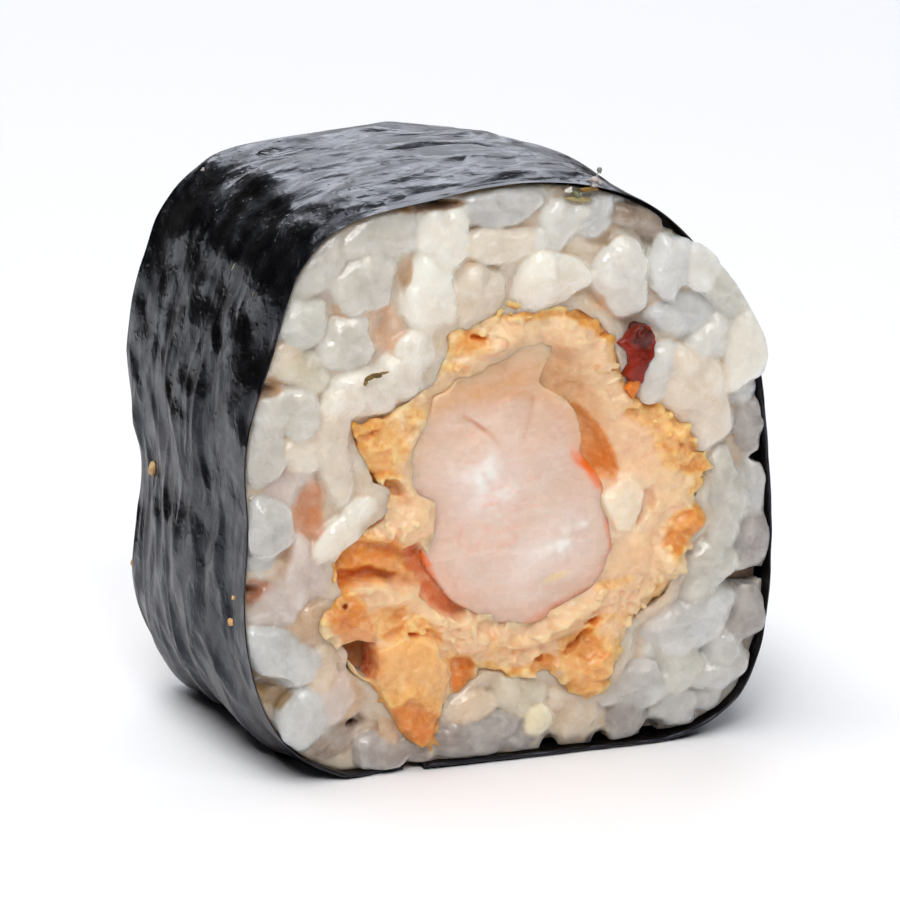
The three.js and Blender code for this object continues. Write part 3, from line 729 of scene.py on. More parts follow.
HOLES = [(-5.0, 9.15, 0.40, 0.12, -45, 0.6), (3.5, 6.15, 0.80, 0.18, 30, 0.4), (4.5, 6.9, 0.45, 0.14, 0, 0.4),
         (7.7, 6.8, 0.3, 0.30, 0, 0.6), (-7.7, 13.7, 0.5, 0.12, 45, 0.5), (-6.95, 12.9, 0.14, 0.5, 0, 0.35),
         (-6.6, 15.3, 0.75, 0.3, -30, 0.6), (-2.1, 23.1, 0.5, 0.14, 10, 0.4), (10.2, 16.2, 0.4, 0.14, -45, 0.4), (5.4, 22.4, 0.3, 0.12, 45, 0.4)]
BUMPS = [(-7.6, 9.7, 2.3, 0.55, -12, 0.55), (-8.6, 8.4, 1.5, 0.8, 0, 0.35),
         (-5.7, 13.4, 1.5, 1.1, 15, 0.7), (-3.2, 7.6, 1.5, 0.8, -30, 0.35), (-7.2, 17.6, 1.4, 1.7, 0, 0.3), (-1.6, 6.6, 1.6, 0.6, 0, 0.35),
         (1.1, 5.7, 0.5, 0.4, 0, 0.5), (2.2, 6.9, 1.6, 0.6, 12, 0.35), (6.5, 13.4, 1.1, 1.5, 30, 0.35), (-0.5, 22.6, 1.3, 0.6, 15, 0.4),
         (3.0, 22.5, 1.4, 0.7, -10, 0.35), (9.0, 16.8, 1.4, 0.9, -50, 0.4), (6.6, 10.0, 0.8, 1.3, -30, 0.3), (-2.6, 21.4, 1.5, 0.4, 0, 0.4),
         (4.2, 4.2, 1.4, 0.9, 0, 0.5), (8.4, 10.0, 0.5, 0.7, 0, 0.3), (9.9, 11.9, 0.9, 0.5, 20, 0.35), (4.7, 8.3, 1.6, 0.45, 20, 0.35)]


# Darker or lighter places of the near cut, the coat's own browning and pale dough, with painted shade in the hollow
# beside the shrimp and along its top: x, z, half sizes, angle, sRGB colour, amount
STAINS_AND_SHADE = [(3.7, 18.2, 1.1, 2.0, 14, (226, 176, 124), 0.55), (2.6, 20.8, 1.2, 1.1, -20, (218, 166, 118), 0.75),
          (3.55, 6.1, 0.9, 0.30, 30, (214, 138, 60), 0.7), (9.7, 15.8, 1.1, 0.7, -50, (232, 176, 104), 0.5), (-1.0, 21.7, 2.2, 0.6, 18, (236, 192, 154), 0.8), (1.6, 22.4, 0.9, 0.5, 0, (236, 192, 150), 0.7), (-4.6, 20.3, 0.9, 0.6, 30, (238, 196, 160), 0.7),
          (-6.6, 15.1, 0.8, 0.35, -30, (222, 160, 104), 0.7), (6.1, 13.2, 1.4, 1.5, -25, (250, 232, 210), 0.7), (-7.9, 18.0, 0.9, 1.2, 0, (244, 178, 92), 0.5),
          (-9.3, 8.6, 0.7, 0.6, 20, (222, 136, 60), 0.6), (-8.0, 12.3, 1.6, 0.6, -5, (230, 150, 66), 0.6)]
# Torn places of the near cut, coloured with the coat's amber and pale tones and with painted shade in the deep hole,
# the notch and the band beside the shrimp: edge, how far it stands out past the rim (None leaves it as it is), sRGB
# colour, amount, how smooth
PATCHES = [([(-9.42, 12.65), (-8.49, 12.83), (-6.69, 12.39), (-5.53, 11.69), (-5.09, 10.69), (-5.32, 9.96), (-7.24, 10.31), (-8.61, 10.34),
             (-9.49, 10.27), (-9.81, 11.1), (-9.69, 11.99)], -0.55, (238, 150, 62), 0.75, 0.6),
           ([(-9.81, 10.9), (-9.15, 11.2), (-7.79, 11.1), (-6.4, 10.6), (-6.5, 10.2), (-8.5, 10.35), (-9.71, 9.97)], -0.95, (220, 106, 10), 0.9, 0.6),
           ([(-10.47, 8.88), (-9.98, 9.68), (-9.16, 9.71), (-8.18, 9.18), (-7.63, 8.21), (-7.53, 7.13), (-8.63, 6.98), (-9.45, 7.33), (-10.1, 7.88)],
            None, (224, 138, 58), 0.65, 0.3),
           ([(-9.67, 7.3), (-8.63, 7.3), (-7.5, 7.1), (-7.3, 6.3), (-7.6, 5.2), (-8.2, 5.4), (-8.8, 5.9), (-9.45, 6.6)], -1.9, (176, 44, 0), 1.0, 1.0),
           ([(-3.5, 5.8), (-2.54, 5.79), (-2.0, 5.31), (-2.1, 4.46), (-2.6, 3.6), (-3.5, 3.5), (-3.8, 4.8)], -0.35, (226, 124, 20), 0.97, 0.9),
           ([(-5.7, 12.4), (-4.87, 11.63), (-4.2, 10.7), (-3.6, 9.6), (-2.8, 8.7), (-2.7, 8.15), (-3.4, 8.0), (-4.2, 8.4), (-4.95, 9.2), (-5.5, 10.2),
             (-5.9, 11.3), (-6.0, 12.0)], -0.55, (222, 110, 36), 0.97, 0.9),
           ([(1.06, 5.5), (1.85, 5.5), (2.31, 5.0), (2.1, 4.3), (1.3, 4.4)], -0.1, (226, 152, 80), 0.75, 0.5),
           ([(2.87, 6.31), (3.66, 6.66), (4.46, 6.69), (5.04, 6.08), (5.16, 4.75), (5.29, 3.64), (4.72, 3.0), (3.81, 3.0), (3.12, 3.54), (2.77, 4.57)],
            None, (232, 164, 88), 0.6, 0.1),
           ([(7.2, 18.3), (8.6, 18.5), (9.5, 17.6), (9.9, 16.6), (9.0, 16.1), (7.8, 16.5), (7.3, 17.3)], None, (252, 212, 150), 0.55, 0.1),
           ([(-8.2, 16.5), (-6.9, 16.2), (-6.2, 16.9), (-6.4, 18.0), (-7.4, 18.4), (-8.4, 18.9), (-8.6, 17.6)], None, (252, 208, 142), 0.5, 0.1),
           ([(9.11, 11.68), (9.79, 12.27), (10.6, 12.14), (10.84, 11.35), (10.15, 11.04), (9.81, 10.63), (9.23, 10.69), (8.88, 11.16)],
            None, (220, 146, 70), 0.7, 0.1),
           ([(7.9, 14.3), (7.95, 13.3), (7.5, 12.6), (6.9, 12.0), (6.9, 12.6), (7.2, 13.3), (7.2, 14.2)], -0.12, (208, 142, 84), 0.7, 0.1),
           ([(4.9, 13.68), (5.12, 14.4), (5.85, 14.9), (6.76, 14.68), (7.28, 13.93), (7.18, 12.81), (6.62, 12.16), (6.4, 11.69), (5.6, 11.9), (5.2, 12.69)], 0.48, (247, 221, 196), 0.75, 0.5),
           ([(-7.83, 7.06), (-8.16, 5.6), (-7.34, 3.46), (-6.19, 2.19), (-5.19, 1.1), (-4.19, 3.27), (-3.74, 5.49), (-4.52, 6.9), (-6.18, 7.6)],
            0.75, (240, 180, 102), 0.75, 0.75),
           ([(-7.3, 3.6), (-6.18, 4.3), (-4.9, 3.5), (-4.1, 3.3), (-4.7, 2.0), (-5.19, 1.0), (-6.3, 2.0)], 0.65, (220, 132, 52), 0.85, 0.75)]
# The gap beside the shrimp: the bowl of coat around it and its deep wedge, painted tan and amber-brown as painted shade
BOWL = [(1.3, 20.4), (1.8, 21.1), (2.4, 21.7), (3.1, 21.55), (3.8, 20.9), (4.6, 19.9), (5.3, 18.8), (5.7, 17.3), (5.85, 15.5), (5.1, 14.55), (3.87, 15.95),
        (3.5, 17.9), (2.8, 19.25), (1.6, 19.8)]
WEDGE = [(3.0, 19.3), (3.5, 17.5), (3.75, 16.2), (4.1, 15.5), (4.7, 14.75), (5.7, 14.7), (6.0, 15.2), (5.75, 16.2), (4.95, 17.6), (4.0, 18.7)]


def random_rows(seed, count, radius, sizes, amounts):
    rng = np.random.default_rng(seed)
    rows = []
    while len(rows) < count:
        x, z = rng.uniform(-11, 11), rng.uniform(2.5, 24.5)
        if abs(math.hypot(x - BATTER_AT[0], z - BATTER_AT[1]) - radius[0]) < radius[1]:
            a = rng.uniform(*sizes)
            rows.append((x, z, a, a * rng.uniform(0.35, 0.9), rng.uniform(0, 180), rng.uniform(*amounts)))
    return rows


FAR_CRISP = random_rows(5, 46, (9.3, 1.6), (0.4, 1.9), (0.5, 1.1))
FAR_HOLES = random_rows(6, 10, (8.3, 1.7), (0.2, 0.6), (0.3, 0.7))
FAR_BUMPS = random_rows(7, 26, (8.3, 2.0), (0.6, 1.8), (0.25, 0.7))


def batter_body(step, end):
    """One half of the fried coat: end is 0 for the near cut and 1 for the far one."""
    xs, zs = spread((-11.8, 12.4, step)), spread((0.2, 25.6, step))
    ys = spread((-11.3, -8.7, step), (-8.7, -7.5, 0.4), (-7.5, 0.5, 2.0))
    ys = ys if end == 0 else -ys[::-1]
    field = Field(xs, ys, zs)
    X2, Z2 = np.meshgrid(xs, zs, indexing="ij")
    rng = np.random.default_rng(9)
    parts = []
    for side in (0, 1):
        n1 = grid_fbm((xs, np.zeros(1, F), zs), 1.5, 61 + side, 3, 0.6)[:, 0]
        n2 = grid_fbm((xs, np.zeros(1, F), zs), 1.5, 71 + side, 3, 0.6)[:, 0]
        n3 = grid_fbm((xs, np.zeros(1, F), zs), 0.55, 75 + side, 2, 0.6)[:, 0]
        n4 = grid_fbm((xs, np.zeros(1, F), zs), 0.55, 77 + side, 2, 0.6)[:, 0]
        wx, wz = X2 + 0.20 * n1 + 0.07 * n3, Z2 + 0.20 * n2 + 0.07 * n4
        coat = blur(polygon_distance((NEAR_BATTER, FAR_BATTER)[side], wx, wz), 5)
        meat = polygon_distance((NEAR_SHRIMP, FAR_SHRIMP)[side], X2 + 0.05 * n1, Z2 + 0.05 * n2)
        bumps = blur(ellipses((BUMPS, FAR_BUMPS)[side], wx, wz, 0.5), 2)
        holes = ellipses((HOLES, FAR_HOLES)[side], X2 + 0.26 * n1 + 0.12 * n3, Z2 + 0.26 * n2 + 0.12 * n4, 0.45)
        crisp = ellipses((CRISP, FAR_CRISP)[side], X2 + 0.3 * n1, Z2 + 0.3 * n2, 0.5)
        proud = 0.05 + bumps - holes - 0.15 * smooth(-coat, 1.0, 0.0)
        rough = 0.30 + 0.70 * smooth(np.minimum(-coat, 3), 2.6, 0.6) if side else 0.30 + 0.70 * np.clip(smooth(-coat, 2.6, 0.4) + smooth(Z2, 9.5, 8.0), 0, 1)
        stains_and_shade = np.zeros((*coat.shape, 4), F)
        tears = []
        for points, level, rgb, amount, calm in PATCHES if side == 0 else ():
            d = polygon_distance(points, X2 + 0.14 * n3 + 0.08 * n1, Z2 + 0.14 * n4 + 0.08 * n2)
            k = smooth(d, 0.10, -0.22)
            rough = rough * (1 - calm * k)
            tears.append((k, None if level is None else level + 0.22 * smooth(-d, 0.1, 1.2) + 0.10 * n1))
            k = (amount * smooth(d, 0.08, -0.35))[..., None]
            stains_and_shade = stains_and_shade * (1 - k) + np.r_[linear(rgb), 1].astype(F) * k
        # ragged flakes lying over one another
        f1 = grid_fbm((xs, np.zeros(1, F), zs), (2.1, 1, 1.5), 121 + side, 4, 0.62)[:, 0]
        f2 = grid_fbm((xs, np.zeros(1, F), zs), (1.0, 1, 0.75), 131 + side, 3, 0.62)[:, 0]
        flakes = 0.25 * smooth(f1, -0.08, 0.16) + 0.16 * smooth(f2, -0.03, 0.2) + 0.10 * smooth(f1, 0.5, 0.75)
        proud = proud + (rough * (flakes - 0.17)).astype(F) - 0.10 * smooth(meat, 0.7, 0.0)
        for k, level in tears:
            proud = proud if level is None else proud * (1 - k) + level * k
        if side == 0:
            bowl = polygon_distance(BOWL, X2 + 0.10 * n3, Z2 + 0.10 * n4)
            wedge = polygon_distance(WEDGE, X2 + 0.06 * n3, Z2 + 0.06 * n4)
            lip = smooth(bowl, 0.8, -0.8) * smooth(meat, 2.3, 0.0)
            proud -= 0.25 * smooth(bowl, 1.2, -0.6) + 0.75 * lip + 0.55 * smooth(wedge, 0.05, -0.5) * (0.3 + 0.7 * smooth(Z2, 19.5, 17.0))
            rough = rough * smooth(bowl, -0.2, 1.0)
            # painted shade in the bowl, on its lip and in the wedge
            for rgb, k in (((236, 196, 154), 0.8 * smooth(bowl, 0.8, -0.8)), ((222, 166, 116), 0.8 * lip), ((234, 150, 62), 0.92 * smooth(wedge, 0.12, -0.12))):
                stains_and_shade = stains_and_shade * (1 - k[..., None]) + np.r_[linear(rgb), 1].astype(F) * k[..., None]
        if side == 0:
            flush = smooth(Z2, 18.0, 19.5) * smooth(meat, 0.9, 0.0) * smooth(X2, 1.6, 0.6)
            proud = proud * (1 - flush) - 0.04 * flush
        lift = proud - blur(proud, 60)
        parts.append((coat, meat, proud.astype(F), crisp, holes, rough.astype(F), lift.astype(F), *np.moveaxis(stains_and_shade, 2, 0)))
    share = smooth(np.abs(ys), 0, RIM) * 0.5
    mix = np.where(ys < 0, 0.5 - share, 0.5 + share).astype(F)
    blend = [(1 - mix)[None, :, None] * parts[0][q][:, None, :] + mix[None, :, None] * parts[1][q][:, None, :] for q in (0, 1)]
    coat, meat = blend
    proud = np.where(ys[None, :, None] < 0, parts[0][2][:, None, :], parts[1][2][:, None, :])
    rough = np.where(ys[None, :, None] < 0, parts[0][5][:, None, :], parts[1][5][:, None, :])
    Y = ys[None, :, None]
    front = np.abs(Y) - F(RIM) - proud
    phi = smax(front, coat + 0 * front, F(0.3))
    bumpy = grid_fbm(field.axes, (1.25, 1.25, 1.25), 81, 3, 0.62)
    phi = phi + (F(0.10) + rough * F(0.15)) * bumpy
    pimple = grid_noise(field.axes, 0.34, 91)
    grit = np.where(ys[None, :, None] < 0, parts[0][3][:, None, :], parts[1][3][:, None, :]).clip(0, 1).astype(F)
    phi = phi - F(0.15) * np.maximum(pimple - F(0.05), 0) * (F(0.15) + F(0.6) * rough + F(0.8) * grit) + F(0.09) * np.maximum(-pimple - F(0.25), 0) * (rough + grit)
    crest = np.maximum(1 - np.abs(grid_noise(field.axes, 0.9, 95)) * F(2.4), 0) ** F(1.5)
    phi = phi - F(0.11) * crest * rough
    lower = smooth(Z2, 14.5, 11.5).astype(F)[:, None, :]
    phi = smax(phi, F(-0.14) - meat + F(0.08) * pimple + (F(0.08) + F(0.16) * lower) * bumpy, F(0.30) - F(0.16) * lower)
    # gas bubbles
    bubbles = 0
    while bubbles < 60:
        x, z, s = rng.uniform(-11, 11), rng.uniform(3, 24.5), end
        c = look_up(parts[s][0], xs, zs, x, z)
        if not -4.0 < c < -0.1 or look_up(parts[s][1], xs, zs, x, z) < 0.5 or look_up(parts[s][5], xs, zs, x, z) < 0.55:
            continue
        r = rng.uniform(0.10, 0.26)
        y = RIM + look_up(parts[s][2], xs, zs, x, z) + rng.uniform(-0.15, 0.2)
        y = y if s else -y
        w = field.window((x - r - 0.4, y - r - 0.4, z - r - 0.4), (x + r + 0.4, y + r + 0.4, z + r + 0.4))
        p = field.local(w, (x, y, z))
        ball = np.sqrt(p[0] ** 2 + p[1] ** 2 + p[2] ** 2) - F(r)
        phi[w] = smax(phi[w], -ball, F(0.06)) if rng.random() < 0.3 else smin(phi[w], ball, F(0.08))
        bubbles += 1
    phi[0], phi[-1], phi[:, 0], phi[:, -1], phi[:, :, 0], phi[:, :, -1] = 1, 1, 1, 1, 1, 1
    field.phi = phi.astype(F)
    verts, quads, _ = surface(field)
    verts, quads, _ = largest(verts, quads)
    verts = relax(verts, quads, 1)
    y = np.abs(verts[:, 1])
    side = verts[:, 1] > 0
    look = [np.where(side, sample_face(parts[1][q], xs, zs, verts), sample_face(parts[0][q], xs, zs, verts)) for q in range(11)]
    coat, meat, proud, crisp, holes, rough, lift = look[:7]
    bowl_rgb, bowl_share = np.stack(look[7:10], 1), look[10][:, None]
    below = np.clip(RIM + proud - y, -1, 3)
    n = point_noise(verts, 0.9, 101)
    fine = point_noise(verts, 0.32, 102)
    mid = point_noise(verts, 1.9, 103)
    crust = crisp + 0.30 * smooth(-coat, 1.1, 0.1) + 0.22 * mid * smooth(-coat, 4, 0.5) + 0.16 * n + 0.10 * fine
    crust = crust - np.where(side, 0, 0.35 * ellipses([(6.4, 13.2, 1.6, 1.9, 20, 1), (6.2, 17.0, 1.0, 1.6, -20, 0.5), (2.4, 22.4, 1.6, 0.6, -10, 0.4)], verts[:, 0], verts[:, 2], 0.6))
    # the flakes' tops are painted paler and the clefts more amber: the coat's own colour, with painted light on the
    # tops and painted shade in the clefts
    rise = lift + (y - RIM - proud)
    crust = crust + (0.25 + 0.75 * smooth(crust, 0.0, 0.6)) * (0.40 * smooth(-rise, 0.02, 0.36) - 0.32 * smooth(rise, 0.0, 0.28))
    crust = np.clip(crust - 0.02, 0, 1.2)
    # painted shade: darker brown in the holes, below the face and deeper in
    crevice_shade = np.clip(smooth(holes, 0.15, 0.9) * 0.9 + smooth(below, 0.3, 1.0) * 0.35 + smooth(y, RIM - 0.7, RIM - 2.2) * 0.7, 0, 1)
    pale, gold, toast, dark = (linear(c) for c in ((243, 205, 163), (246, 197, 129), (234, 158, 72), (180, 88, 26)))
    c1 = smooth(crust, 0.12, 0.62)[:, None]
    c2 = smooth(crust, 0.62, 1.15)[:, None]
    colours = pale * (1 - c1) + gold * c1
    colours = colours * (1 - c2) + toast * c2
    blush = (0.45 * smooth(mid + 0.5 * n, -0.1, 0.7) * smooth(crust, 0.8, 0.3))[:, None]
    colours = colours * (1 - blush) + linear((238, 190, 152)) * blush
    colours = colours * (1 - 0.75 * crevice_shade[:, None]) + (toast * 0.72 + dark * 0.28) * 0.75 * crevice_shade[:, None]
    # the patches' colours and the bowl's painted shade
    colours = colours * (1 - bowl_share) + bowl_rgb
    for x, z, a, b, angle, rgb, amount in STAINS_AND_SHADE:
        k = np.where(side, 0, ellipses([(x, z, a, b, angle, amount)], verts[:, 0], verts[:, 2], 0.6))[:, None]
        colours = colours * (1 - k) + linear(rgb) * k
    colours *= (1 + 0.06 * fine + 0.05 * n)[:, None]
    hidden = (y < RIM - 1.35)
    verts, faces, kept = thin(verts, quads, hidden, 0.75)
    return verts, faces, colours[kept], {"crisp": np.clip(crust, 0, 1)[kept], "deep": crevice_shade[kept]}


verts, faces, colours, values = batter_body(STEP * 0.85, 0)
batter = add("tempura_coat_front", verts, faces, colours, values, "tempura_batter")
verts, faces, colours, values = batter_body(STEP * 1.2, 1)
batter_back = add("tempura_coat_back", verts, faces, colours, values, "tempura_batter")


# ---- the shrimp ----------------------------------------------------------------------

CREASES = [[(-2.85, 18.85), (-2.2, 18.4), (-1.6, 17.85), (-0.95, 17.0)], [(1.09, 19.5), (0.87, 18.84), (0.54, 18.12), (0.27, 17.62)]]
VEINED = (-1.3, 13.4, 3.2, 2.0, 15, 1.0)
STREAKS = [[(-3.6, 12.6), (-2.0, 13.4), (0.0, 13.5), (2.0, 13.0)], [(-3.0, 10.4), (-1.0, 10.0), (1.5, 10.6), (4.0, 11.6)]]
# Raised, finely wrinkled places of the shrimp's face, whitened there as painted highlights: x, z, half sizes, angle,
# amount
LUMPS_AND_HIGHLIGHTS = [(-1.9, 16.0, 0.7, 1.2, -15, 0.55), (-1.7, 16.3, 0.3, 0.5, 0, 0.5), (-2.0, 15.2, 0.35, 0.45, 20, 0.5), (-0.85, 14.75, 0.75, 0.3, 25, 0.7),
         (-2.3, 14.2, 0.4, 0.4, 0, 0.45), (2.9, 12.0, 1.5, 0.75, 25, 0.45), (3.3, 12.2, 0.8, 0.30, 28, 0.6), (2.3, 11.6, 0.4, 0.25, 10, 0.5),
         (1.2, 11.2, 1.1, 0.5, 20, 0.25), (-3.3, 16.2, 0.5, 0.9, 0, 0.25)]


def line_distance(points, X, Z):
    best = np.full(X.shape, 1e9)
    for (x0, z0), (x1, z1) in zip(points[:-1], points[1:]):
        dx, dz = x1 - x0, z1 - z0
        t = np.clip(((X - x0) * dx + (Z - z0) * dz) / (dx * dx + dz * dz), 0, 1)
        best = np.minimum(best, np.hypot(X - x0 - t * dx, Z - z0 - t * dz))
    return best


def shrimp_body(step):
    xs, zs = spread((-7.4, 6.9, step)), spread((6.4, 23.3, step))
    half = spread((-10.9, -8.3, step), (-8.3, -7.1, 0.4), (-7.1, 0, 1.8))
    ys = np.r_[half, -half[-2::-1]].astype(F)
    field = Field(xs, ys, zs)
    X2, Z2 = np.meshgrid(xs, zs, indexing="ij")
    parts = []
    for side in (0, 1):
        flip = 1 if side == 0 else -1
        n1 = grid_fbm((xs, np.zeros(1, F), zs), 2.2, 161 + side, 3, 0.5)[:, 0]
        edge = polygon_distance((NEAR_SHRIMP, FAR_SHRIMP)[side], X2, Z2)
        edge = blur(edge, 3)
        proud = 0.05 + 0.70 * smooth(-edge, 0, 3.8) + 0.09 * n1
        sharp, faint = (line_distance([(flip * x, z) for x, z in row], X2, Z2) for row in CREASES)
        taper = np.exp(-(((X2 * flip + 2.2) / 0.85) ** 2 + ((Z2 - 18.35) / 0.85) ** 2))
        crease = taper * np.exp(-(sharp / 0.11) ** 2) + 0.22 * np.exp(-(sharp / 0.09) ** 2) + 0.30 * np.exp(-(faint / 0.13) ** 2)
        proud -= 0.09 * crease + 0.05 * np.exp(-(sharp / 0.5) ** 2) + 0.05 * np.exp(-(faint / 0.3) ** 2)
        proud += 0.10 * blur(ellipses([(flip * x, z, a, b, flip * angle, k) for x, z, a, b, angle, k in LUMPS_AND_HIGHLIGHTS], X2, Z2, 0.7), 2)
        wedge = (1 - smooth(np.abs(X2 * flip + 0.75) - (Z2 - 17.0) * 0.95, -0.5, 0.3)) * smooth(Z2, 17.0, 18.2)
        proud -= 0.07 * wedge * smooth(Z2, 17.2, 19.0)
        proud -= 0.12 * smooth(Z2, 19.8, 21.4)
        for row in STREAKS:
            d = line_distance([(flip * x, z) for x, z in row], X2, Z2)
            proud -= 0.05 * np.exp(-(d / 0.35) ** 2)
        proud += 0.10 * grid_noise((xs, np.zeros(1, F), zs), (1.2, 1, 0.9), 171 + side)[:, 0]
        wrinkled = np.clip(ellipses([(flip * x, z, a * 1.5, b * 1.5, flip * angle, k) for x, z, a, b, angle, k in LUMPS_AND_HIGHLIGHTS], X2, Z2, 0.6), 0, 1)
        proud += (0.025 + 0.045 * wrinkled) * grid_noise((xs, np.zeros(1, F), zs), (0.55, 1, 0.32), 173 + side)[:, 0]
        parts.append((edge.astype(F), proud.astype(F), crease.astype(F)))
    share = smooth(np.abs(ys), 0, RIM) * 0.5
    mix = np.where(ys < 0, 0.5 - share, 0.5 + share).astype(F)[None, :, None]
    edge = (1 - mix) * parts[0][0][:, None, :] + mix * parts[1][0][:, None, :]
    proud = np.where(ys[None, :, None] < 0, parts[0][1][:, None, :], parts[1][1][:, None, :])
    phi = smax(np.abs(ys)[None, :, None] - F(RIM) - proud, edge - F(0.08), (0.12 + 0.30 * smooth(Z2, 19.5, 16.5)).astype(F)[:, None, :])
    phi = phi + F(0.05) * grid_noise(field.axes, 1.3, 181) - F(0.05)
    phi[0], phi[-1], phi[:, 0], phi[:, -1], phi[:, :, 0], phi[:, :, -1] = 1, 1, 1, 1, 1, 1
    field.phi = phi.astype(F)
    verts, quads, _ = surface(field)
    verts, quads, _ = largest(verts, quads)
    verts = relax(verts, quads, 1)
    side = verts[:, 1] > 0
    edge = np.where(side, sample_face(parts[1][0], xs, zs, verts), sample_face(parts[0][0], xs, zs, verts))
    crease = np.where(side, sample_face(parts[1][2], xs, zs, verts), sample_face(parts[0][2], xs, zs, verts))
    x, z, y = verts[:, 0] * np.where(side, -1, 1), verts[:, 2], np.abs(verts[:, 1])
    flesh, pink, skin, tan = (linear(c) for c in ((231, 207, 190), (236, 176, 148), (255, 112, 36), (228, 180, 140)))
    n = point_noise(verts, 1.4, 191)
    fine = point_noise(verts, (0.7, 0.7, 0.35), 192)
    low = smooth(z, 16.5, 11.5)
    rim = smooth(-edge, 1.5, 0.1)
    pinkness = np.clip(0.10 + 0.42 * rim * (0.35 + 0.65 * low) + 0.10 * n + 0.18 * smooth(fine, 0.15, 0.8) * smooth(z, 16, 13) * smooth(-edge, 0.6, 2), 0, 1)
    strip = np.zeros(len(verts))
    for sx, sz, a, b, angle, amount in ((3.75, 15.95, 0.75, 0.34, -42, 0.9), (4.5, 15.0, 0.9, 0.30, -60, 1.0), (-4.95, 11.3, 1.15, 0.18, -62, 1.0), (5.2, 12.4, 1.7, 0.20, -80, 0.5),
                                        (-5.4, 15.0, 0.5, 0.25, 0, 0.15), (2.6, 8.2, 2.4, 0.30, 22, 0.35), (5.1, 10.4, 1.1, 0.22, 70, 0.35), (-1.9, 7.9, 1.0, 0.2, -30, 0.25), (-1.6, 14.2, 0.5, 0.12, 10, 0.14),
                                        (-0.6, 12.8, 0.9, 0.14, 15, 0.12), (0.8, 13.9, 0.5, 0.12, -10, 0.1)):
        strip += ellipses([(sx, sz, a, b, angle, amount)], x, z, 0.6)
    strip = np.clip(strip * (1 + 0.4 * fine), 0, 1) * smooth(y, RIM - 2.2, RIM - 0.9)
    # painted shade: tan towards the top where the meat sinks under the coat, under the coat's upper edge, and deeper in
    shade = np.clip(smooth(z, 18.9, 20.2) * 0.95 + 0.45 * smooth(-edge, 1.1, 0.0) * smooth(z, 13.5, 17.0) + 0.25 * smooth(z, 15.3, 18.2) * (1 - 0.6 * ellipses([(-0.7, 19.2, 1.2, 1.2, 0, 1)], x, z, 0.5)) + smooth(y, RIM - 0.7, RIM - 1.8) * 0.7, 0, 1)
    colours = flesh * (1 - pinkness[:, None]) + pink * pinkness[:, None]
    clear = 0.55 * ellipses([(-1.6, 15.6, 2.0, 2.4, 0, 1), (2.2, 11.8, 2.4, 1.6, 25, 1), (-0.3, 10.6, 1.8, 1.2, 0, 0.6)], x, z, 0.7) * (0.7 + 0.5 * n)
    clear = np.clip(clear, 0, 0.8)[:, None]
    colours = colours * (1 - clear) + linear((240, 226, 218)) * clear
    # painted highlight: the raised places whitened, standing for the wet sheen's reflections
    painted_highlight = 0.75 * np.clip(ellipses(LUMPS_AND_HIGHLIGHTS, x, z, 0.7) * (0.75 + 1.1 * point_noise(verts, 0.28, 195) + 0.4 * fine), 0, 1)[:, None] * smooth(y, RIM - 0.3, RIM + 0.1)[:, None]
    colours = colours * (1 - painted_highlight) + linear((255, 249, 244)) * painted_highlight
    colours = colours * (1 - shade[:, None]) + tan * shade[:, None]
    colours = colours * (1 - strip[:, None]) + skin * strip[:, None]
    web = np.abs(point_noise(verts, (1.3, 1.3, 0.75), 197) + 0.35 * point_noise(verts, (0.5, 0.5, 0.35), 198))
    web = 0.24 * np.exp(-(web / 0.11) ** 2) * ellipses([VEINED], x, z, 0.5) * smooth(point_noise(verts, 0.8, 199), -0.3, 0.4) * (y > RIM - 1)
    colours = colours * (1 - web[:, None]) + linear((244, 158, 136)) * web[:, None]
    line = 0.75 * np.clip(crease, 0, 1) * (y > RIM - 1)
    colours = colours * (1 - line[:, None]) + linear((206, 136, 92)) * line[:, None]
    yellow = ellipses([(2.2, 9.9, 0.7, 0.22, 15, 0.5)], x, z, 0.6)[:, None]
    colours = colours * (1 - yellow) + linear((250, 226, 150)) * yellow
    verts, faces, kept = thin(verts, quads, y < RIM - 1.6, 0.8)
    return verts, faces, colours[kept], {"deep": shade[kept], "edge": np.clip(-edge, 0, 4)[kept]}


verts, faces, colours, values = shrimp_body(STEP * 0.9)
shrimp = add("shrimp_meat", verts, faces, colours, values, "shrimp")


# ---- the seaweed ------------------------------------------------------------------------

def sheet_noise(s, y, scale, seed):
    """Noise on the unrolled sheet: s along its wrap, y across it."""
    axes = (np.asarray(s, F), np.asarray(y, F), np.zeros(1, F))
    return grid_noise(axes, (scale[0], scale[1], 1.0), seed)[:, :, 0]


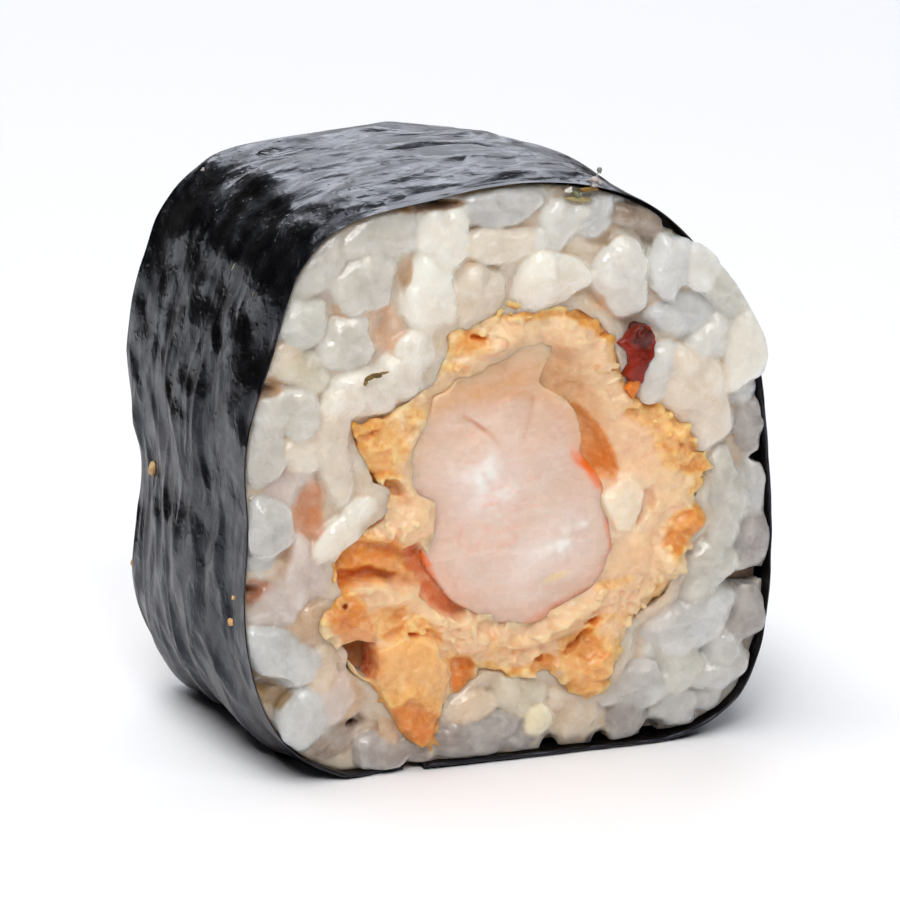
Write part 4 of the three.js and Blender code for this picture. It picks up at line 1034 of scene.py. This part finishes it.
def nori_sheet(columns, rows):
    fine = np.linspace(-math.pi / 2 - 0.5, 1.5 * math.pi, 4401)
    ends = []
    for v in (0.0, 0.5, 1.0):
        x, z = outline(fine, v)
        under = z < 3
        right = fine[(x > SEAM_RIGHT) & under & (fine < math.pi / 2)].min()
        left = fine[(x < SEAM_LEFT) & under & (fine > math.pi / 2)].max()
        ends.append((right, left))
    ends = np.array(ends)
    v = np.linspace(0, 1, rows)
    start = np.interp(v, (0, 0.5, 1), ends[:, 0])
    stop = np.interp(v, (0, 0.5, 1), ends[:, 1])
    x0, z0 = outline(fine[(fine > ends[0, 0]) & (fine < ends[0, 1])], 0.5)
    length = np.r_[0, np.cumsum(np.hypot(np.diff(x0), np.diff(z0)))]
    even = np.interp(np.linspace(0, 1, columns), length / length[-1], np.linspace(0, 1, len(length)))
    s = np.linspace(0, 106, columns)
    ragged = 0.05 * sheet_noise(s, [0, 1], (0.7, 9), 301)[:, :2] + 0.10 * sheet_noise(s, [0, 1], (3.5, 9), 302)[:, :2]
    y = -RIM + 2 * RIM * v[None, :] + ragged[:, :1] * (1 - v)[None, :] - ragged[:, 1:] * v[None, :]
    t = start[None, :] + (stop - start)[None, :] * even[:, None]
    t = t + 0.006 * sheet_noise(s, y[0], (40, 1.6), 303) * (np.abs(even - 0.5) * 2)[:, None] ** 12
    x, z = outline(t, v[None, :])
    d = 0.012
    xa, za = outline(t - d, v[None, :])
    xb, zb = outline(t + d, v[None, :])
    n = np.hypot(xb - xa, zb - za)
    nx, nz = (zb - za) / n, -(xb - xa) / n
    steep = 1 - smooth(nz, 0.35, 0.85)
    relief = (0.055 + 0.06 * steep) * sheet_noise(s, y[0], (3.4, 1.3), 311) + (0.34 + 0.24 * steep) * sheet_noise(s, y[0], (6.5, 4.0), 313)
    relief += (0.045 + 0.015 * steep) * sheet_noise(s, y[0], (2.6, 0.75), 312) + 0.012 * sheet_noise(s, y[0], (0.9, 0.5), 314)
    for scale, seed, top, flank in (((4.2, 2.2), 315, 0.16, 0.22), ((2.8, 1.0), 316, 0.07, 0.09)):
        relief += (top + (flank - top) * steep) * np.maximum(1 - np.abs(sheet_noise(s, y[0], scale, seed)) * 2.0, 0) ** 1.5
    # the sheet lies tighter round the upper left corner
    tight = smooth(-nx, 0.30, 0.55) * smooth(nz, 0.15, 0.35) * (1 - smooth(nz, 0.82, 0.95))
    relief *= 1 - 0.6 * tight
    relief -= 0.12
    flat = smooth(z, 0.02, 0.9)
    relief = relief * (0.15 + 0.85 * flat) * (1 - 0.55 * smooth(nx, 0.25, 0.6) * (1 - smooth(v, 0.2, 0.5))[None, :])
    calm = 0.35 + 0.65 * smooth(v, 0.0, 0.04)[None, :] - 0.15 * smooth(v, 0.96, 1.0)[None, :]
    thick = SHEET * (0.86 + 0.10 * sheet_noise(s, y[0], (2.0, 1.2), 321))
    # towards its near cut edge the sheet rolls in over the rice, and at the far one it curls a little
    w = (v * 2 * RIM)[None, :]
    rolled = 0.46 * smooth(w, 0.1, 2.1 + 0.8 * steep) * (1 - smooth(w, 3.5, 9.0)) * (1 - smooth(nx, 0.1, 0.5))
    rolled = rolled * (1 + 0.45 * sheet_noise(s, [0, 1], (4.0, 9), 305)[:, :1]) * flat
    curl = 0.08 * np.maximum(1 - w / 1.9, 0) ** 2 + 0.10 * np.maximum(1 - (2 * RIM - w) / 1.9, 0) ** 2
    shift = np.maximum(relief * calm + rolled - curl, 0.07 - thick)
    out = np.stack([x + shift * nx, y, z + shift * nz], 2)
    inn = np.stack([x - thick * nx, y, z - thick * nz], 2)
    out[:, :, 2] = np.maximum(out[:, :, 2], 0)
    inn[:, :, 2] = np.maximum(inn[:, :, 2], out[:, :, 2] + 0.2 * (z < 1))
    mid = 0.5 * (out + inn)
    near, far = mid[:, :1].copy(), mid[:, -1:].copy()
    near[..., 1] -= 0.09
    back = 0.35 * smooth(even, 1 - 0.025, 1 - 0.005)[:, None] * smooth(1 - v, 0.9, 1.0)[None, :]
    out[..., 1] += back
    inn[..., 1] += back
    near[..., 1] += back[:, :1]
    far[..., 1] += 0.09
    loop = np.concatenate([out, far, inn[:, ::-1], near], 1)
    k = loop.shape[1]
    i, j = np.meshgrid(np.arange(columns - 1), np.arange(k), indexing="ij")
    i, j = i.ravel(), j.ravel()
    quads = [np.stack([i * k + j, (i + 1) * k + j, (i + 1) * k + (j + 1) % k, i * k + (j + 1) % k], 1)]
    for col, flip in ((0, True), (columns - 1, False)):
        a = np.arange(rows - 1)
        cap = np.stack([col * k + a, col * k + a + 1, col * k + (2 * rows - a - 1), col * k + (2 * rows - a)], 1)
        near_tri = np.array([[col * k + 0, col * k + 2 * rows, col * k + 2 * rows + 1, col * k + 2 * rows + 1]])
        far_tri = np.array([[col * k + rows - 1, col * k + rows, col * k + rows + 1, col * k + rows + 1]])
        cap = np.concatenate([cap, near_tri, far_tri])
        quads.append(cap[:, ::-1] if flip else cap)
    quads = np.concatenate(quads)
    verts = loop.reshape(-1, 3)
    along = np.repeat(s, k)
    across = np.tile(np.r_[v, 1, v[::-1], 0], columns) * 2 * RIM
    inside = np.tile(np.r_[np.zeros(rows), 0, np.ones(rows), 0], columns)
    return verts, quads, along, across, inside


verts, quads, along, across, inside = nori_sheet(*(((380, 190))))
middle = (inside > 0.5) & (np.abs(verts[:, 1]) < RIM - 0.7)
verts, faces, kept = thin(verts, quads, middle, 1.2)
nori = add("nori_sheet", verts, faces, None, {"along": along[kept], "across": across[kept]}, "nori")


# ---- small pieces ----------------------------------------------------------------------------

def lump(centre, half, axes, seed, rough=0.25, n=18, m=11):
    """A small closed body: a sphere stretched to half along axes, its surface uneven."""
    th = np.arange(n) / n * 2 * np.pi
    ph = np.linspace(0, np.pi, m + 2)[1:-1]
    T, P = np.meshgrid(th, ph, indexing="ij")
    d = np.stack([np.sin(P) * np.cos(T), np.sin(P) * np.sin(T), np.cos(P)], 2).reshape(-1, 3)
    d = np.concatenate([d, [[0, 0, 1], [0, 0, -1]]])
    r = 1 + rough * point_noise(d + 7 * seed % 13, 0.55, 500 + seed)
    p = (d * r[:, None] * np.asarray(half)) @ np.asarray(axes, float) + np.asarray(centre)
    faces = [[i * m + j, ((i + 1) % n) * m + j, ((i + 1) % n) * m + j + 1, i * m + j + 1] for i in range(n) for j in range(m - 1)]
    faces += [[n * m, ((i + 1) % n) * m, i * m] for i in range(n)] + [[n * m + 1, i * m + m - 1, ((i + 1) % n) * m + m - 1] for i in range(n)]
    return p, [f[::-1] for f in faces]


def join(name, lumps):
    verts, faces, colours, start = [], [], [], 0
    for (p, f), rgb in lumps:
        verts.append(p)
        faces += [[start + i for i in row] for row in f]
        colours.append(linear(rgb) * (1 + 0.35 * point_noise(p, 0.45, 901))[:, None])
        start += len(p)
    o = make(name, np.concatenate(verts), faces, np.concatenate(colours))
    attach(o, "root")
    return o


def on_sheet(degrees, v, lift=0.0):
    """A place on the seaweed's outer side, with directions along the wrap, across it and outwards."""
    t = math.radians(degrees)
    x, z = (float(c) for c in outline(t, v))
    xa, za = (float(c) for c in outline(t - 0.02, v))
    xb, zb = (float(c) for c in outline(t + 0.02, v))
    n = math.hypot(xb - xa, zb - za)
    along = np.array([(xb - xa) / n, 0, (zb - za) / n])
    out = np.array([(zb - za) / n, 0, -(xb - xa) / n])
    return np.array([x, -RIM + 2 * RIM * v, z]) + lift * out, np.array([along, [0, 1, 0], out])


def chip(polygon, y, thick, seed, step=0.07, rough=0.13):
    """A small flat-ish chip with the given edge in the cut face, standing out to y."""
    P = np.asarray(polygon, float)
    xs = spread((P[:, 0].min() - 0.4, P[:, 0].max() + 0.4, step))
    zs = spread((P[:, 1].min() - 0.4, P[:, 1].max() + 0.4, step))
    ys = spread((y - 0.5, y + thick + 0.5, step))
    field = Field(xs, ys, zs)
    X2, Z2 = np.meshgrid(xs, zs, indexing="ij")
    flat = polygon_distance(P, X2, Z2)
    Y = ys[None, :, None]
    slab = np.abs(Y - F(y + thick / 2)) - F(thick / 2)
    phi = smax(slab + 0 * flat[:, None, :], flat[:, None, :] + 0 * slab, F(0.10))
    field.phi = (phi + F(rough) * grid_fbm(field.axes, 0.6, seed, 2)).astype(F)
    field.phi[0], field.phi[-1], field.phi[:, 0], field.phi[:, -1], field.phi[:, :, 0], field.phi[:, :, -1] = 1, 1, 1, 1, 1, 1
    verts, quads, _ = surface(field)
    verts, quads, _ = largest(verts, quads)
    return relax(verts, quads, 1), quads.tolist()


UP = np.eye(3)
dark_bit = join("dark_bit", [(chip([(5.6, 22.0), (6.3, 22.4), (6.9, 22.9), (7.4, 22.7), (7.95, 21.9), (7.7, 21.2), (7.3, 20.9), (7.1, 20.5), (6.95, 19.9),
                                    (6.5, 19.95), (6.2, 20.3), (6.5, 20.85), (6.15, 21.5)], -RIM - 0.35, 1.0, 71), (140, 30, 2)),
                             (chip([(6.5, 22.1), (7.0, 22.75), (7.5, 22.5), (7.7, 21.8), (7.25, 21.6), (6.8, 21.75)], -RIM - 0.37, 0.9, 73, rough=0.3), (84, 16, 2)),
                             (chip([(6.05, 19.5), (6.4, 20.1), (6.9, 19.9), (6.85, 19.4), (6.5, 19.05)], -RIM - 0.40, 0.8, 72), (214, 122, 40))])

crumbs = []
for k, (degrees, v, half, rgb) in enumerate(((189, 0.83, (0.42, 0.22, 0.22), (226, 190, 136)), (209, 0.99, (0.30, 0.18, 0.2), (214, 170, 120)),
                                             (204, 0.06, (0.17, 0.14, 0.12), (214, 170, 110)), (199.5, 0.03, (0.14, 0.12, 0.10), (220, 180, 120)),
                                             (128.8, 0.925, (0.12, 0.08, 0.08), (206, 206, 196)), (140.8, 0.352, (0.14, 0.06, 0.04), (168, 158, 130)),
                                             (143.2, 0.171, (0.12, 0.08, 0.05), (160, 150, 118)))):
    place, axes = on_sheet(degrees, v, 0.08 if v > 0.5 else 0.24)
    crumbs.append((lump(place, half, axes, 20 + k, 0.6), rgb))
crumbs = join("crumbs", crumbs)

# a green-brown fleck on the rice, and a glassy scrap with a hair-thin sprout on the upper edge
fleck = [(lump((-8.40, -RIM - 0.60, 21.18), (0.22, 0.12, 0.11), turn(60), 31, 0.5), (134, 108, 46)),
         (lump((-8.12, -RIM - 0.64, 21.42), (0.28, 0.13, 0.15), turn(28), 32, 0.5), (112, 92, 40)),
         (lump((-7.80, -RIM - 0.64, 21.48), (0.28, 0.12, 0.12), turn(8), 34, 0.5), (100, 80, 34)),
         (lump((-7.48, -RIM - 0.60, 21.56), (0.26, 0.08, 0.08), turn(12), 33, 0.5), (140, 112, 54))]


def stem(points, radii, n=8):
    """A thin round stalk through the points."""
    P, rows = np.asarray(points, float), []
    for i, r in enumerate(radii):
        along = P[min(i + 1, len(P) - 1)] - P[max(i - 1, 0)]
        along /= np.linalg.norm(along)
        one = np.cross(along, (0, 1, 0))
        one /= np.linalg.norm(one)
        two = np.cross(along, one)
        a = np.arange(n)[:, None] / n * 2 * np.pi
        rows.append(P[i] + r * (np.cos(a) * one + np.sin(a) * two))
    m = len(P)
    verts = np.concatenate([*rows, P[:1], P[-1:]])
    faces = [[i * n + k, i * n + (k + 1) % n, (i + 1) * n + (k + 1) % n, (i + 1) * n + k] for i in range(m - 1) for k in range(n)]
    faces += [[m * n, (k + 1) % n, k] for k in range(n)] + [[m * n + 1, (m - 1) * n + k, (m - 1) * n + (k + 1) % n] for k in range(n)]
    return verts, faces


TOP = -RIM - 0.05
fleck += [(stem([(4.40, TOP, 30.55), (4.44, TOP, 30.75), (4.50, TOP - 0.02, 30.92), (4.58, TOP - 0.02, 31.08), (4.64, TOP, 31.18)],
                (0.07, 0.05, 0.04, 0.05, 0.04)), (150, 146, 130)),
          (lump((4.64, TOP, 31.16), (0.13, 0.10, 0.17), UP, 46, 0.3, 12, 8), (128, 128, 122)),
          (lump((4.30, TOP, 30.68), (0.24, 0.12, 0.16), turn(10), 47, 0.4, 12, 8), (206, 200, 200)),
          (lump((4.34, TOP + 0.02, 30.40), (0.20, 0.14, 0.26), turn(6), 52, 0.35, 12, 8), (186, 182, 178)),
          (lump((4.62, TOP - 0.02, 30.55), (0.2, 0.12, 0.11), turn(-20), 45, 0.4, 12, 8), (196, 192, 188)),
          (lump((4.02, TOP - 0.10, 30.22), (0.50, 0.15, 0.20), turn(-4), 48, 0.35), (138, 106, 34)),
          (lump((3.30, TOP - 0.12, 30.02), (0.26, 0.15, 0.26), turn(-40), 49, 0.35), (112, 116, 88)),
          (lump((2.92, TOP - 0.10, 30.25), (0.22, 0.14, 0.20), turn(20), 50, 0.3), (214, 214, 208)),
          (lump((3.5, TOP - 0.08, 29.72), (0.75, 0.12, 0.14), turn(-8), 51, 0.3), (176, 160, 110))]
fleck = join("herb_flecks", fleck)


# ---- materials --------------------------------------------------------------------------

class Nodes:
    def __init__(self, name):
        self.mat = bpy.data.materials.new(name)
        self.mat.use_nodes = True
        self.tree = self.mat.node_tree
        self.bsdf = self.tree.nodes["Principled BSDF"]

    def node(self, kind, **values):
        n = self.tree.nodes.new(kind)
        for key, value in values.items():
            if hasattr(n, key):
                setattr(n, key, value)
            else:
                n.inputs[key].default_value = value
        return n

    def link(self, a, b):
        self.tree.links.new(a, b)

    def set(self, **values):
        for key, value in values.items():
            self.bsdf.inputs[key.replace("_", " ")].default_value = value

    def attribute(self, name):
        return self.node("ShaderNodeAttribute", attribute_name=name)

    def place(self):
        return self.node("ShaderNodeTexCoord").outputs["Object"]

    def noise(self, vector, scale, detail=3.0, roughness=0.5):
        n = self.node("ShaderNodeTexNoise")
        n.inputs["Scale"].default_value, n.inputs["Detail"].default_value = scale, detail
        n.inputs["Roughness"].default_value = roughness
        self.link(vector, n.inputs["Vector"])
        return n.outputs["Fac"]

    def ranged(self, value, a, b, c, d):
        n = self.node("ShaderNodeMapRange")
        for i, v in enumerate((a, b, c, d), 1):
            n.inputs[i].default_value = v
        self.link(value, n.inputs[0])
        return n.outputs[0]

    def mix(self, factor, a, b, blend="MIX"):
        n = self.node("ShaderNodeMix", data_type="RGBA", blend_type=blend)
        for socket, value in ((n.inputs[0], factor), (n.inputs[6], a), (n.inputs[7], b)):
            if isinstance(value, (int, float)):
                socket.default_value = value
            elif isinstance(value, tuple):
                socket.default_value = (*value, 1)
            else:
                self.link(value, socket)
        return n.outputs[2]

    def bump(self, height, strength, distance, normal=None):
        n = self.node("ShaderNodeBump")
        n.inputs["Strength"].default_value, n.inputs["Distance"].default_value = strength, distance
        self.link(height, n.inputs["Height"])
        if normal is not None:
            self.link(normal, n.inputs["Normal"])
        return n.outputs["Normal"]


def srgb(*rgb):
    return tuple(float(c) for c in linear(rgb))


def rice_material():
    m = Nodes("moist_rice")
    at = m.place()
    tint = m.attribute("tint").outputs["Color"]
    warm_and_shade = m.attribute("warm_and_shade").outputs["Fac"]
    soft = m.noise(at, 800, 3)
    # painted shade: the tint multiplied towards tan where the surface lies deep, and a little near the coat
    base = m.mix(warm_and_shade, tint, srgb(226, 186, 146), "MULTIPLY")
    base = m.mix(m.ranged(soft, 0.42, 0.7, 0.0, 0.22), base, srgb(255, 253, 248))
    # painted rim light: lighter where the surface is seen edge-on
    edge = m.node("ShaderNodeLayerWeight")
    edge.inputs["Blend"].default_value = 0.35
    base = m.mix(m.ranged(edge.outputs["Facing"], 0.15, 0.7, 0.0, 0.42), base, srgb(255, 252, 247))
    m.link(base, m.bsdf.inputs["Base Color"])
    m.link(m.ranged(m.noise(at, 1500, 2), 0.35, 0.65, 0.12, 0.32), m.bsdf.inputs["Roughness"])
    fine = m.bump(m.noise(at, 2300, 2), 0.5, 0.00022)
    m.link(m.bump(m.noise(at, 1000, 1), 0.45, 0.0004, fine), m.bsdf.inputs["Normal"])
    m.set(Subsurface_Weight=0.9, Subsurface_Radius=(1.0, 0.88, 0.74), Subsurface_Scale=0.0016, IOR=1.42, Coat_Weight=0.7,
          Coat_Roughness=0.09, Coat_IOR=1.4)
    return m.mat


def batter_material():
    m = Nodes("fried_coat")
    at = m.place()
    tint = m.attribute("tint").outputs["Color"]
    crisp = m.attribute("crisp").outputs["Fac"]
    crumb = m.noise(at, 2700, 3, 0.6)
    spot = m.noise(at, 1200, 3, 0.55)
    brown = m.node("ShaderNodeMath", operation="MULTIPLY")
    m.link(m.ranged(crumb, 0.52, 0.36, 0.0, 0.35), brown.inputs[0])
    m.link(m.ranged(crisp, 0.0, 0.6, 0.25, 1.0), brown.inputs[1])
    base = m.mix(brown.outputs[0], tint, srgb(230, 170, 104), "MULTIPLY")
    base = m.mix(m.ranged(crumb, 0.54, 0.70, 0.0, 0.22), base, srgb(255, 226, 184))
    base = m.mix(m.ranged(spot, 0.5, 0.75, 0.0, 0.30), base, srgb(250, 216, 170))
    m.link(base, m.bsdf.inputs["Base Color"])
    m.link(m.ranged(m.noise(at, 1800, 2), 0.3, 0.7, 0.30, 0.62), m.bsdf.inputs["Roughness"])
    fine = m.bump(crumb, 0.35, 0.00016)
    m.link(m.bump(spot, 0.45, 0.0003, fine), m.bsdf.inputs["Normal"])
    m.set(Subsurface_Weight=0.6, Subsurface_Radius=(1.0, 0.55, 0.28), Subsurface_Scale=0.0014, IOR=1.45, Coat_Weight=0.35,
          Coat_Roughness=0.16, Coat_IOR=1.45)
    return m.mat


def shrimp_material():
    m = Nodes("cooked_shrimp")
    at = m.place()
    tint = m.attribute("tint").outputs["Color"]
    turned = m.node("ShaderNodeMapping")
    m.link(at, turned.inputs["Vector"])
    turned.inputs["Rotation"].default_value = (0, math.radians(-12), 0)
    turned.inputs["Scale"].default_value = (0.45, 1, 1.6)
    fibre = m.noise(turned.outputs[0], 900, 3, 0.5)
    base = m.mix(m.ranged(fibre, 0.5, 0.8, 0.0, 0.25), tint, srgb(252, 242, 238))
    base = m.mix(m.ranged(m.noise(turned.outputs[0], 1100, 3), 0.58, 0.75, 0.0, 0.22), base, srgb(240, 164, 138))
    m.link(base, m.bsdf.inputs["Base Color"])
    m.link(m.ranged(m.noise(at, 1300, 2), 0.3, 0.7, 0.16, 0.36), m.bsdf.inputs["Roughness"])
    fine = m.bump(fibre, 0.35, 0.0003)
    m.link(m.bump(m.noise(at, 700, 2), 0.45, 0.0005, fine), m.bsdf.inputs["Normal"])
    m.set(Subsurface_Weight=0.8, Subsurface_Radius=(1.0, 0.62, 0.5), Subsurface_Scale=0.0018, IOR=1.42, Coat_Weight=0.6,
          Coat_Roughness=0.10, Coat_IOR=1.4)
    return m.mat


def nori_material():
    m = Nodes("seaweed_sheet")
    along = m.attribute("along").outputs["Fac"]
    across = m.attribute("across").outputs["Fac"]
    spot = m.node("ShaderNodeCombineXYZ")
    m.link(along, spot.inputs[0])
    m.link(across, spot.inputs[1])
    streak = m.node("ShaderNodeMapping")
    m.link(spot.outputs[0], streak.inputs["Vector"])
    streak.inputs["Scale"].default_value = (0.9, 1.0, 1.0)
    fine = m.noise(streak.outputs[0], 1.0, 2.0, 0.45)
    broad = m.noise(streak.outputs[0], 0.33, 1.0, 0.3)
    pore = m.noise(streak.outputs[0], 0.5, 2.0, 0.5)
    pits = m.ranged(m.noise(streak.outputs[0], 2.1, 1.5, 0.5), 0.56, 0.70, 1.0, 0.0)
    grain = m.noise(m.place(), 2600, 2, 0.5)
    edge = m.node("ShaderNodeLayerWeight")
    edge.inputs["Blend"].default_value = 0.3
    base = m.mix(m.ranged(broad, 0.5, 0.75, 0, 1), srgb(4, 4, 5), srgb(14, 10, 6))
    # painted light: browner where the sheet is seen edge-on, standing for light shining through its thin edge
    base = m.mix(m.ranged(edge.outputs["Facing"], 0.6, 1.0, 0.0, 0.6), base, srgb(78, 44, 16))
    m.link(base, m.bsdf.inputs["Base Color"])
    m.link(m.ranged(pore, 0.40, 0.70, 0.30, 0.46), m.bsdf.inputs["Roughness"])
    b = m.bump(grain, 0.08, 0.00005)
    b = m.bump(pits, 0.25, 0.00012, b)
    b = m.bump(fine, 0.28, 0.0005, b)
    m.link(m.bump(broad, 0.5, 0.0030, b), m.bsdf.inputs["Normal"])
    m.set(IOR=1.5, Specular_IOR_Level=0.5, Specular_Tint=(0.78, 0.81, 1.0, 1))
    return m.mat


def bit_material():
    m = Nodes("small_bits")
    at = m.place()
    tint = m.attribute("tint").outputs["Color"]
    m.link(m.mix(m.ranged(m.noise(at, 2600, 3), 0.4, 0.7, 0.0, 0.45), tint, srgb(150, 96, 60), "MULTIPLY"), m.bsdf.inputs["Base Color"])
    m.link(m.bump(m.noise(at, 3200, 3), 0.5, 0.00015), m.bsdf.inputs["Normal"])
    m.set(Roughness=0.34, Subsurface_Weight=0.25, Subsurface_Radius=(1.0, 0.5, 0.3), Subsurface_Scale=0.0003, IOR=1.45)
    return m.mat


materials = {"rice": rice_material(), "batter": batter_material(), "shrimp": shrimp_material(), "nori": nori_material()}
for o in rice:
    o.data.materials.append(materials["rice"])
batter.data.materials.append(materials["batter"])
batter_back.data.materials.append(materials["batter"])
shrimp.data.materials.append(materials["shrimp"])
nori.data.materials.append(materials["nori"])
bits = bit_material()
for o in (dark_bit, crumbs, fleck):
    o.data.materials.append(bits)


# ---- floor, light and camera --------------------------------------------------------------

def floor():
    n, r = 64, 4.0
    a = np.arange(n) / n * 2 * np.pi
    me = bpy.data.meshes.new("floor")
    me.from_pydata([(r * math.cos(t), r * math.sin(t), -0.00002) for t in a], [], [list(range(n))])
    o = bpy.data.objects.new("floor", me)
    bpy.context.scene.collection.objects.link(o)
    m = Nodes("pale_floor")
    m.set(Base_Color=(0.95, 0.955, 0.98, 1), Roughness=0.9, Specular_IOR_Level=0.1)
    me.materials.append(m.mat)


floor()


def softbox(name, place, aim, size, radiance, colour=(1, 1, 1)):
    light = bpy.data.lights.new(name, "AREA")
    light.shape = "RECTANGLE"
    light.size, light.size_y = size
    light.energy = radiance * math.pi * size[0] * size[1]
    light.color = colour
    o = bpy.data.objects.new(name, light)
    o.location = place
    o.rotation_euler = (Vector(aim) - Vector(place)).to_track_quat("-Z", "Y").to_euler()
    bpy.context.scene.collection.objects.link(o)


def toward(azimuth, elevation, distance):
    """azimuth is degrees to the right of +Y."""
    a, e = math.radians(azimuth), math.radians(elevation)
    return (distance * math.sin(a) * math.cos(e), distance * math.cos(a) * math.cos(e), 0.015 + distance * math.sin(e))


AIM = (0, 0, 0.015)
softbox("left_light", toward(300, 72, 1.1), AIM, (0.70, 0.70), 3.8)
softbox("front_light", toward(204, 62, 1.0), AIM, (0.60, 0.60), 3.6)
softbox("back_light", toward(21, 30, 1.0), AIM, (0.60, 0.60), 3.5, (0.88, 0.92, 1.0))
softbox("left_key", toward(206, 40, 0.6), AIM, (0.11, 0.11), 16.5, (1.0, 0.99, 0.97))
softbox("middle_key", toward(190, 42, 0.6), AIM, (0.11, 0.11), 13.4, (1.0, 0.99, 0.97))
softbox("right_key", toward(150, 42, 0.6), AIM, (0.085, 0.085), 11.2, (1.0, 0.99, 0.97))

world = bpy.data.worlds.new("studio")
bpy.context.scene.world = world
world.use_nodes = True
tree = world.node_tree
sky = tree.nodes["Background"]
sky.inputs["Color"].default_value = (0.95, 0.97, 1.0, 1)
sky.inputs["Strength"].default_value = 0.0
seen = tree.nodes.new("ShaderNodeBackground")
seen.inputs["Color"].default_value = (1, 1, 1, 1)
seen.inputs["Strength"].default_value = 1.0
path = tree.nodes.new("ShaderNodeLightPath")
both = tree.nodes.new("ShaderNodeMixShader")
tree.links.new(path.outputs["Is Camera Ray"], both.inputs[0])
tree.links.new(sky.outputs[0], both.inputs[1])
tree.links.new(seen.outputs[0], both.inputs[2])
tree.links.new(both.outputs[0], tree.nodes["World Output"].inputs["Surface"])

cam = bpy.data.cameras.new("camera")
cam.sensor_width = 36.0
cam.lens = 179.894
cam.clip_start, cam.clip_end = 0.01, 20
camera = bpy.data.objects.new("camera", cam)
camera.location = (-0.08465, -0.21916, 0.07228)
camera.rotation_euler = Vector((0.35054, 0.90564, -0.23860)).to_track_quat("-Z", "Y").to_euler()
bpy.context.scene.collection.objects.link(camera)
bpy.context.scene.camera = camera
bpy.context.scene.view_settings.view_transform = "Standard"
